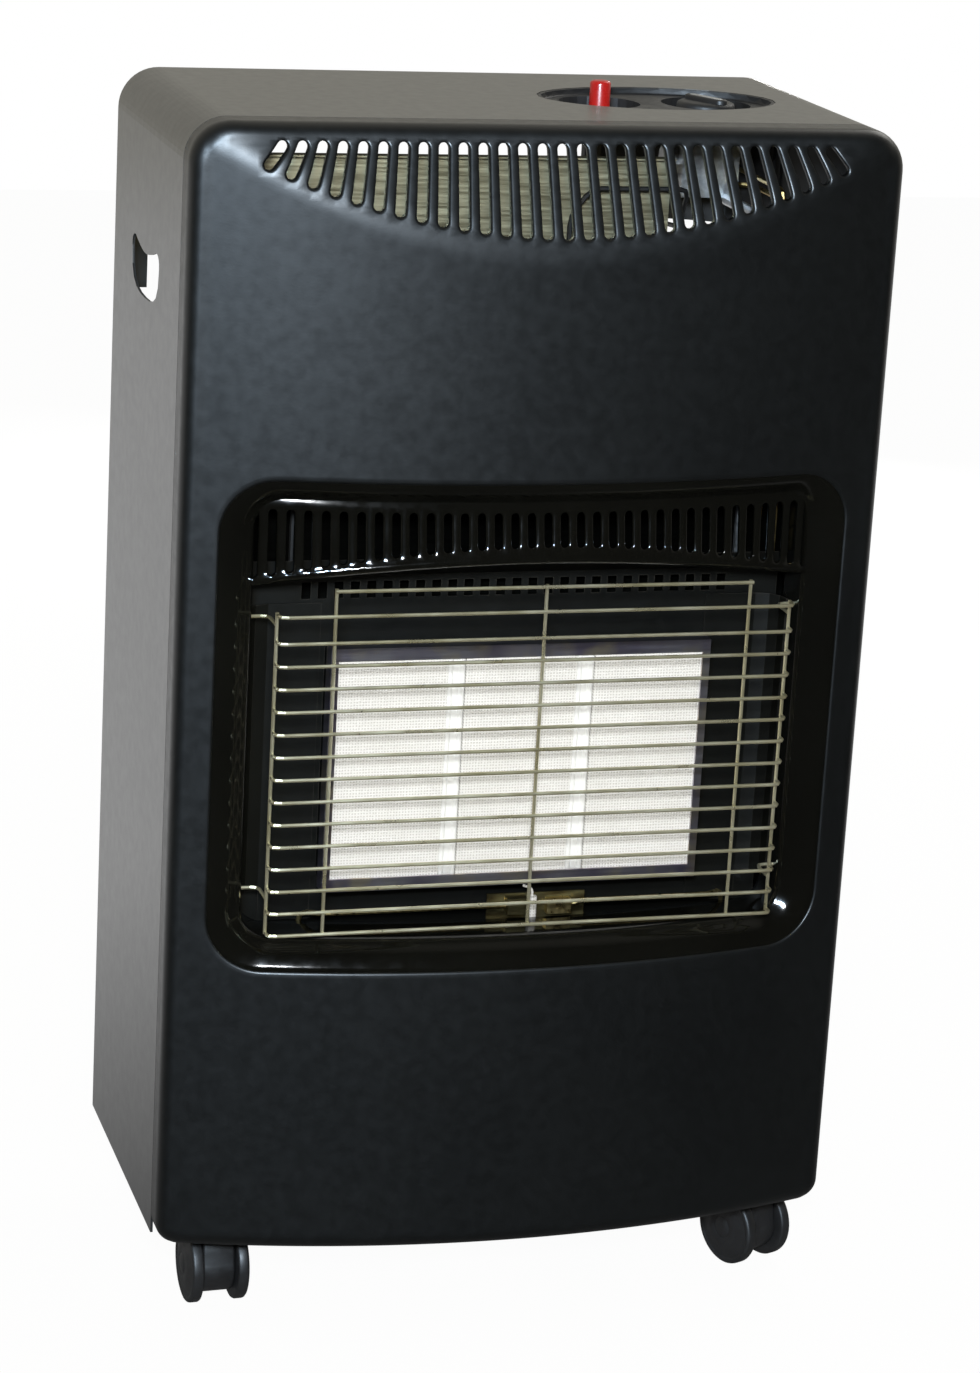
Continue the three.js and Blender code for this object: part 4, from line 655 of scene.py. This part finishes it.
def make_front_panel():
    slots = louvre_slots()
    slot_edge, window_edge = 1.6, 1.7  # radii of the rounded rims
    slot_wall, window_wall = 2.6, 1.5  # how far the rims turn in
    louvre_zone, louvre_end_clear = 75, 2
    mesh_step = 3.2

    def outline_depth(x, z):
        return inside_rectangle(x, z, HALF_WIDTH, BOTTOM, TOP, FOOT_CORNER, HEAD_CORNER)

    def window_distance(x, z):
        return -inside_rectangle(
            x, z, WINDOW_HALF, WINDOW_LOW, WINDOW_HIGH, WINDOW_CORNER, WINDOW_CORNER
        )

    def nearest_slot(x, z):
        if z < TOP - louvre_zone:
            return FAR
        i = round(x / LOUVRE_PITCH + (LOUVRES - 1) / 2)
        near = [slots[j] for j in (i - 1, i, i + 1) if 0 <= j < LOUVRES]
        return min((slot_distance(x, z, slot) for slot in near), default=FAR)

    def height(x, z):
        face = face_y(min(abs(x), HALF_WIDTH - EDGE_RADIUS))
        scoop = SEAM - LIP_DEPTH - SCOOP_SLOPE * (LIP_Z - min(z, LIP_Z))
        eased = max(CREASE_BLEND - abs(face - scoop), 0) / CREASE_BLEND
        base = max(face, scoop) + eased**2 * CREASE_BLEND / 4
        base += fallen(max(outline_depth(x, z), 0), EDGE_RADIUS)
        base += fallen(max(window_distance(x, z), 0), window_edge)
        return base + fallen(max(nearest_slot(x, z), 0), slot_edge)

    loops = []
    for turn in evenly(0, math.pi / 2, 7):
        inset = EDGE_RADIUS * (1 - math.sin(turn))
        loops.append(rounded_ring(
            HALF_WIDTH - inset, BOTTOM + inset, TOP - inset,
            FOOT_CORNER - inset, HEAD_CORNER - inset, 10, 60, 84,
        ))
    for out in (0, 0.2, 0.7, window_edge, 4):
        loops.append(rounded_ring(
            WINDOW_HALF + out, WINDOW_LOW - out, WINDOW_HIGH + out,
            WINDOW_CORNER + out, WINDOW_CORNER + out, 12, 60, 44,
        ))
    for slot in slots:
        loops += [slot_ring(slot, out) for out in (0, 0.2, 0.75, slot_edge)]
    points = []
    for before, after in zip(slots, slots[1:]):
        foot = max(before[1][1], after[1][1]) - louvre_end_clear
        rows = max(3, round((TOP - LOUVRE_HEAD_DROP - foot) / mesh_step))
        for t in evenly(0, 1, rows):
            head_x = (before[0][0] + after[0][0]) / 2
            foot_x = (before[1][0] + after[1][0]) / 2
            z = TOP - LOUVRE_HEAD_DROP + (foot - TOP + LOUVRE_HEAD_DROP) * t
            points.append((head_x + (foot_x - head_x) * t, z))
    rows = evenly(BOTTOM + 12, TOP - 80, 80) + evenly(TOP - 76, TOP - 12, 22)
    for z in rows:
        for x in evenly(-196, 196, 56):
            clear = outline_depth(x, z) > EDGE_RADIUS + 1.5
            if clear and window_distance(x, z) > 6.5 and nearest_slot(x, z) > slot_edge + 1.6:
                points.append((x, z))

    def keep(x, z):
        return outline_depth(x, z) > 0 and window_distance(x, z) > 0 and nearest_slot(x, z) > 0

    def reach(x, y, z):
        if outline_depth(x, z) < 0.01:
            return PANEL_BACK
        return y + (window_wall if abs(window_distance(x, z)) < 0.01 else slot_wall)

    vertices, faces = pressed_sheet(loops, points, height, keep)
    vertices, faces = without_loose(vertices, faces)
    vertices, faces = extend_rims(vertices, faces, reach)
    add_piece(
        "dressed_front_panel", vertices, faces, "cabinet", ["front_panel"], "satin_black",
        PANEL_SHEET,
    )


# side, foot, head, corner radius and depth of the bezel's rim, from the window's edge inwards
RIM_STATIONS = [
    (-8, -8, -8, 40, 2.2),
    (0, 0, 0, 32, 2.2),
    (4, 3, 3, 28, 2.9),
    (11, 8.6, 7.2, 24, 6.4),
    (17, 13, 10.2, 20.6, 11.2),
    (20.2, 15.4, 12.4, 18, 13.8),
    (21.4, 16.2, 13.2, 17, 18),
    (23, 17, 14, 16, 38),
]
RIM_STEPS = 4


def curved(stations, steps):
    """Runs a smooth curve through rows of numbers."""
    rows = []
    for i in range(len(stations) - 1):
        before = stations[max(i - 1, 0)]
        here, there = stations[i], stations[i + 1]
        after = stations[min(i + 2, len(stations) - 1)]
        for t in evenly(0, 1, steps)[:-1]:
            row = []
            for a, b, c, d in zip(before, here, there, after):
                tangent_b, tangent_c = (c - a) / 2, (d - b) / 2
                row.append(
                    (2 * t**3 - 3 * t**2 + 1) * b + (t**3 - 2 * t**2 + t) * tangent_b
                    + (3 * t**2 - 2 * t**3) * c + (t**3 - t**2) * tangent_c
                )
            rows.append(row)
    return rows + [list(stations[-1])]


def brow_z(x):
    return WINDOW_HIGH - BROW_DROP - BROW_FALL * (x / (WINDOW_HALF - RIM_SIDE)) ** 2


def make_bezel():
    vertices, faces = [], []
    rings = curved(RIM_STATIONS, RIM_STEPS)
    for side, foot, head, radius, depth in rings:
        ring = rounded_ring(
            WINDOW_HALF - side, WINDOW_LOW + foot, WINDOW_HIGH - head, radius, radius, 14, 30, 24
        )
        vertices += [(x, face_y(x) + depth, z) for x, z in ring]
    count = len(vertices) // len(rings)
    for row in range(len(rings) - 1):
        for i in range(count):
            a, b = row * count + i, row * count + (i + 1) % count
            faces.append((a, a + count, b + count, b))
    slots = []
    reach = VENT_PITCH * (VENTS - 1) / 2
    for i in range(VENTS):
        x = (i - (VENTS - 1) / 2) * VENT_PITCH
        foot = WINDOW_HIGH - VENT_FOOT_DROP - VENT_FOOT_FALL * (x / reach) ** 2
        slots.append(((x, WINDOW_HIGH - VENT_HEAD_DROP), (x, foot), VENT_HALF))
    brow_half, slot_edge, brow_bend = 182, 1.1, 3.4
    brow_head = WINDOW_HIGH - 9
    brow_depth, brow_end_depth, vent_depth, lip_share = 5, 7, 12.4, 0.08
    cove, cove_depth, cove_bend = 9, 1.8, 3
    bead, bead_rise, bead_width = 1.0, 4.2, 1.9
    brow_turn, slot_turn, head_turn = 7, 1.8, 0.4  # how far the rims turn in

    def nearest_slot(x, z):
        i = round(x / VENT_PITCH + (VENTS - 1) / 2)
        near = [slots[j] for j in (i - 1, i, i + 1) if 0 <= j < VENTS]
        return min((slot_distance(x, z, slot) for slot in near), default=FAR)

    def height(x, z):
        share = min(abs(x) / (WINDOW_HALF - RIM_SIDE), 1) ** 4
        rise = (z - brow_z(x)) / (brow_head - brow_z(x))
        proud = brow_depth + brow_end_depth * share
        base = face_y(x) + proud + (vent_depth - proud) * max(rise - lip_share, 0) / (1 - lip_share)
        below = max(brow_head - z, 0)
        base += cove_depth * max(1 - below / cove, 0) ** 2 - fallen(below, cove_bend)
        base -= bead * math.exp(-(((z - brow_z(x) - bead_rise) / bead_width) ** 2))
        base += fallen(max(nearest_slot(x, z), 0), slot_edge)
        return base + fallen(max(z - brow_z(x), 0), brow_bend)

    def strip(drop):
        return [(x, brow_z(x) + drop) for x in evenly(-brow_half, brow_half, 90)]

    border = strip(0) + [(x, brow_head) for x in evenly(brow_half, -brow_half, 90)]
    loops = [border]
    for slot in slots:
        loops += [slot_ring(slot, out, 6, 3.6) for out in (0, 0.25, slot_edge)]
    points = [
        p for drop in (0.25, 0.9, 2.0, brow_bend, 4.4, 5.4, 6.4) for p in strip(drop)[1:-1]
        if nearest_slot(*p) > slot_edge + 0.3
    ]
    for drop in (0.1, 0.4, 0.9, 1.5, 2.2, 3, 4, 5.2, 6.5, 8):
        points += [(x, brow_head - drop) for x in evenly(-brow_half + 1, brow_half - 1, 74)]
    for z in evenly(WINDOW_HIGH - 64, brow_head - 9.5, 16):
        for x in evenly(-brow_half + 1, brow_half - 1, 74):
            if z > brow_z(x) + 7 and nearest_slot(x, z) > slot_edge + 0.9:
                points.append((x, z))

    def keep(x, z):
        return brow_z(x) < z < brow_head and nearest_slot(x, z) > 0

    def deeper(x, y, z):
        if z - brow_z(x) < 0.05:
            return y + brow_turn
        return y + (slot_turn if z < brow_head - 0.05 else head_turn)

    brow_vertices, brow_faces = pressed_sheet(loops, points, height, keep)
    brow_vertices, brow_faces = without_loose(brow_vertices, brow_faces)
    brow_vertices, brow_faces = extend_rims(brow_vertices, brow_faces, deeper)
    first = len(vertices)
    vertices += brow_vertices
    faces += [tuple(first + i for i in face) for face in brow_faces]
    add_piece("dressed_bezel", vertices, faces, "cabinet", ["window_bezel"], "enamel_black", 1.0)


def make_spacer(number):
    """A joint strip between two plaques: a rounded rib along each side of a shallow groove."""
    node = f"plaque_spacer_{number}"
    low, high = (Vector(corner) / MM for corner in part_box(node))
    lap, groove, back_off, bevel = 0.25, 0.9, 0.6, 0.4
    rib_share, rib_end = 0.17, 0.28
    low.x, high.x = low.x - lap, high.x + lap
    half, rib = (high.x - low.x) / 2, (high.x - low.x) * rib_share
    middle = (low.x + high.x) / 2

    def rib_arc(x, start, end):
        return [
            (middle + x + rib * math.cos(a), low.y + rib * (1 - math.sin(a)))
            for a in evenly(start, end, 7)
        ]

    section = [
        *rib_arc(rib - half, math.pi, rib_end),
        (middle, low.y + groove),
        *rib_arc(half - rib, math.pi - rib_end, 0),
        (high.x, high.y - back_off),
        (low.x, high.y - back_off),
    ]
    rows = [low.z, low.z + bevel, *evenly(low.z + 3, high.z - 3, 12), high.z - bevel, high.z]
    count = len(section)
    vertices = []
    for row, z in enumerate(rows):
        drop = bevel if row in (0, len(rows) - 1) else 0.0
        vertices += [(x, min(y + drop, high.y), z) for x, y in section]
    last = count * (len(rows) - 1)
    faces = [tuple(range(count)), tuple(reversed(range(last, last + count)))]
    for row in range(len(rows) - 1):
        for i in range(count):
            a, b = row * count + i, row * count + (i + 1) % count
            faces.append((b, a, a + count, b + count))
    add_piece(
        f"dressed_spacer_{number}", vertices, faces, "cabinet", [node], "ceramic_white",
        finish=SPACER_FINISH,
    )


def lathed(profile, foot, axis, segments=56):
    """Turns a profile of radius and height about an axis, closed by a disc at both ends."""
    across = axis.orthogonal().normalized()
    other = axis.cross(across)
    vertices, faces = [], []
    for radius, along in profile:
        for a in evenly(0, 2 * math.pi, segments)[:-1]:
            out = across * math.cos(a) + other * math.sin(a)
            vertices.append(foot + axis * along + out * radius)
    for row in range(len(profile) - 1):
        for i in range(segments):
            a, b = row * segments + i, row * segments + (i + 1) % segments
            faces.append((a, b, b + segments, a + segments))
    last = segments * (len(profile) - 1)
    return vertices, [*faces, tuple(reversed(range(segments))), tuple(range(last, last + segments))]


def shrunk(outline, inset):
    """Moves a closed counter-clockwise outline inwards along its own normals."""
    moved = []
    for i, (x, y) in enumerate(outline):
        (ax, ay), (bx, by) = outline[i - 1], outline[(i + 1) % len(outline)]
        length = math.hypot(bx - ax, by - ay)
        moved.append((x - (by - ay) / length * inset, y + (bx - ax) / length * inset))
    return moved


def thick_plate(outline, stations, place):
    """Stacks an outline, shrunk by each station's inset; place turns it into x, y and z."""
    vertices, faces, count = [], [], len(outline)
    for along, inset in stations:
        vertices += [place(a, b, along) for a, b in shrunk(outline, inset)]
    for row in range(len(stations) - 1):
        for i in range(count):
            a, b = row * count + i, row * count + (i + 1) % count
            faces.append((a, b, b + count, a + count))
    last = count * (len(stations) - 1)
    return vertices, [*faces, tuple(reversed(range(count))), tuple(range(last, last + count))]


def gathered(*shapes):
    """Joins shapes into one list of vertices and one of faces."""
    vertices, faces = [], []
    for more_vertices, more_faces in shapes:
        first = len(vertices)
        vertices += more_vertices
        faces += [tuple(first + i for i in face) for face in more_faces]
    return vertices, faces


def joint_place(name):
    joint = next(item for item in frame["joints"] if item["name"] == name)
    return Vector(joint["pos_m"]) / MM


UP = Vector((0, 0, 1))
# radius, and distance out from the caster's middle
WHEEL_PROFILE = [
    (2, 10.6), (20, 10.6), (22.6, 10.6), (23.5, 10.9), (24, 11.8), (24, 15.8), (23.8, 16.7),
    (23.1, 17.4), (22.2, 17.7), (21.2, 17.5), (20.4, 17.0), (19.4, 17.0), (13, 18.6), (8, 19.2),
    (7.2, 18.7), (6.4, 18.7), (5.6, 19.3), (2, 19.6),
]
CASTER_TRAIL, WHEEL_RADIUS, HOOD_RADIUS, NECK_HEIGHT = 20, 24, 18, 49.4


def make_caster(corner):
    """Twin wheels with a rounded tread, and a smooth hood that swivels on its stem."""
    centre = joint_place(f"roll_{corner}")
    stem = joint_place(f"swivel_{corner}")
    stem.z = 0
    forward = (centre - stem) * Vector((1, 1, 0))
    forward.normalize()
    across = forward.cross(UP)
    for letter in ("a", "b"):
        node = f"caster_wheel_{letter}_{corner}"
        low, high = (Vector(point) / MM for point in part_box(node))
        side = math.copysign(1, ((low + high) / 2 - centre).dot(across))
        vertices, faces = lathed(WHEEL_PROFILE, centre, across * side)
        add_piece(
            f"dressed_wheel_{letter}_{corner}", vertices, faces, f"wheels_{corner}", [node],
            "plastic_black",
        )

    drum = [
        (CASTER_TRAIL + HOOD_RADIUS * math.cos(a), WHEEL_RADIUS + HOOD_RADIUS * math.sin(a))
        for a in evenly(math.radians(157), math.radians(380), 40)
    ]
    neck = [
        (36.2, 36), (35.4, 40), (34.2, 43.5), (32.2, 46.6), (29, 48.7),
        *((v, NECK_HEIGHT) for v in (25.5, 20, 10, 0, -6)),
        (-7.8, 48.6), (-8.5, 46.8), (-8.5, 42), (-7.6, 38), (-5, 35.2), (-1.5, 33),
    ]
    rounding = [(9.9, 1.8), (9.7, 1.0), (9.1, 0.3), (8.1, 0)]
    stations = [(-u, inset) for u, inset in rounding] + rounding[::-1]
    hood = thick_plate(
        drum + neck, stations, lambda v, w, u: stem + forward * v + UP * w + across * u
    )
    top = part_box(f"caster_hood_{corner}")[1][2] / MM
    post_profile = [(4, NECK_HEIGHT - 1), (4.5, NECK_HEIGHT), (4.5, top - 0.6), (3.9, top)]
    post = lathed(post_profile, stem, UP, 32)
    axle = lathed([(3, -18), (3, 18)], centre, across, 24)
    vertices, faces = gathered(hood, post, axle)
    nodes = [f"caster_hood_{corner}", f"caster_axle_{corner}"]
    add_piece(f"dressed_hood_{corner}", vertices, faces, f"caster_{corner}", nodes, "plastic_black")


CONTROL_X, CONTROL_Y, CONTROL_HALF_LENGTH, CONTROL_HALF_WIDTH = 95, 23.5, 73.2, 46.7
WELL_Y = 31.5
WELLS = [(62, 25, 12), (129, 27.5, 13)]  # middle, radius and depth
# distance in from the oval's rim, and height
TRAY_EDGE = [
    (0, 720.9), (0.15, 721.4), (0.4, 721.7), (0.8, 721.82), (1.5, 721.82), (1.9, 721.7),
    (2.2, 721.3), (2.4, 720.5), (2.6, 719), (2.9, 718.4), (3.5, 718.15),
]
# distance out from a well's rim, and depth: under the tray, and past -1 under the well's floor
WELL_EDGE = [(1.4, 0), (0.9, 0.1), (0.3, 0.4), (-0.1, 1.1), (-1.2, -1.8), (-1.9, -0.7), (-3, 0)]


def along_table(table, value):
    """Reads a table of pairs at a value, in straight steps, and holds its ends beyond them."""
    for (a, low), (b, high) in zip(table, table[1:]):
        if min(a, b) <= value <= max(a, b):
            return low + (high - low) * (value - a) / (b - a)
    return table[0][1] if abs(value - table[0][0]) < abs(value - table[-1][0]) else table[-1][1]


def make_control_tray():
    """The oval tray in the cabinet's top, with its two round wells."""
    deepest, sheet, rim_turn = 40.0, 0.8, 3

    def edge_distance(x, y):
        """Distance in from the oval's rim, found by halving."""
        low, high = 0.0, deepest
        for _ in range(40):
            inset = (low + high) / 2
            across = (x - CONTROL_X) / (CONTROL_HALF_LENGTH - inset)
            along = (y - CONTROL_Y) / (CONTROL_HALF_WIDTH - inset)
            low, high = (inset, high) if across**2 + along**2 < 1 else (low, inset)
        return low

    def level(x, y):
        z = along_table(TRAY_EDGE, edge_distance(x, y))
        for centre, radius, drop in WELLS:
            out = math.hypot(x - centre, y - WELL_Y) - radius
            if out < WELL_EDGE[0][0]:
                table = [(o, z - d if d >= 0 and o > -1 else z - drop - d) for o, d in WELL_EDGE]
                z = along_table(table, out)
        return z

    loops = [
        [(CONTROL_X + (CONTROL_HALF_LENGTH - inset) * math.cos(a),
          CONTROL_Y + (CONTROL_HALF_WIDTH - inset) * math.sin(a))
         for a in evenly(0, 2 * math.pi, 128)[:-1]]
        for inset, _ in TRAY_EDGE
    ]
    for centre, radius, _ in WELLS:
        loops += [
            [(centre + (radius + out) * math.cos(a), WELL_Y + (radius + out) * math.sin(a))
             for a in evenly(0, 2 * math.pi, 80)[:-1]]
            for out, _ in WELL_EDGE
        ]
    flat_vertices, faces = pressed_sheet(loops, [], lambda x, y: -level(x, y), lambda x, y: True)
    flat_vertices, faces = without_loose(flat_vertices, faces)
    flat_vertices, faces = extend_rims(flat_vertices, faces, lambda x, y, z: y + rim_turn)
    vertices = [(x, z, -y) for x, y, z in flat_vertices]
    add_piece("dressed_control_tray", vertices, faces, "cabinet", [], "plastic_black", sheet)


POINTER_TURN = math.radians(25)


def standing(node):
    """The foot of a solid's upright axis, on the floor, and the heights of its two ends."""
    low, high = (Vector(corner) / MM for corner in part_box(node))
    middle = (low + high) / 2
    return Vector((middle.x, middle.y, 0)), low.z, high.z


def make_button():
    foot, base, head = standing("igniter_button")
    profile = [
        (1, base), (6.2, base), (6.2, head - 1.9), (6.0, head - 1.1), (5.4, head - 0.4),
        (4.2, head), (1, head),
    ]
    button = lathed(profile, foot, UP, 40)
    add_piece("dressed_button", *button, "igniter_button", ["igniter_button"], "button_red")


def make_knob():
    """A round skirt with a grip bar across it, and the pointer let into the bar."""
    foot, base, head = standing("control_knob")
    skirt = [
        (1, 0), (19.3, 0), (20, 0.7), (20, 2.4), (19.6, 3), (18.6, 3.3), (18.1, 4), (17.5, 8),
        (16.9, 9.2), (15.6, 9.9), (13, 10.1), (1, 10.1),
    ]
    body = lathed([(radius, base + rise) for radius, rise in skirt], foot, UP, 64)
    turned = Matrix.Rotation(POINTER_TURN, 3, "Z")

    def bar(half_width, half_length, bottom, top):
        outline = [
            (half_width * math.cos(a), half_length + half_width * math.sin(a))
            for a in evenly(0, math.pi, 12)
        ]
        outline += [(-x, -y) for x, y in outline]
        stations = [(bottom, 0), (top - 0.8, 0), (top - 0.25, 0.25), (top, 0.8)]
        return thick_plate(
            outline, stations, lambda a, b, z: foot + turned @ Vector((a, b, 0)) + UP * z
        )

    grip = bar(4.2, 12, base + 9.5, head - 0.4)
    knob = gathered(body, grip)
    add_piece("dressed_knob", *knob, "control_knob", ["control_knob"], "plastic_black")
    pointer = bar(1.9, 11.5, head - 1, head)
    add_piece("knob_pointer", *pointer, "control_knob", [], "aluminium", finish=POINTER_FINISH)


make_front_panel()
make_bezel()
make_spacer(1)
make_spacer(2)
make_control_tray()
make_button()
make_knob()
for corner in ("front_left", "front_right", "rear_left", "rear_right"):
    make_caster(corner)
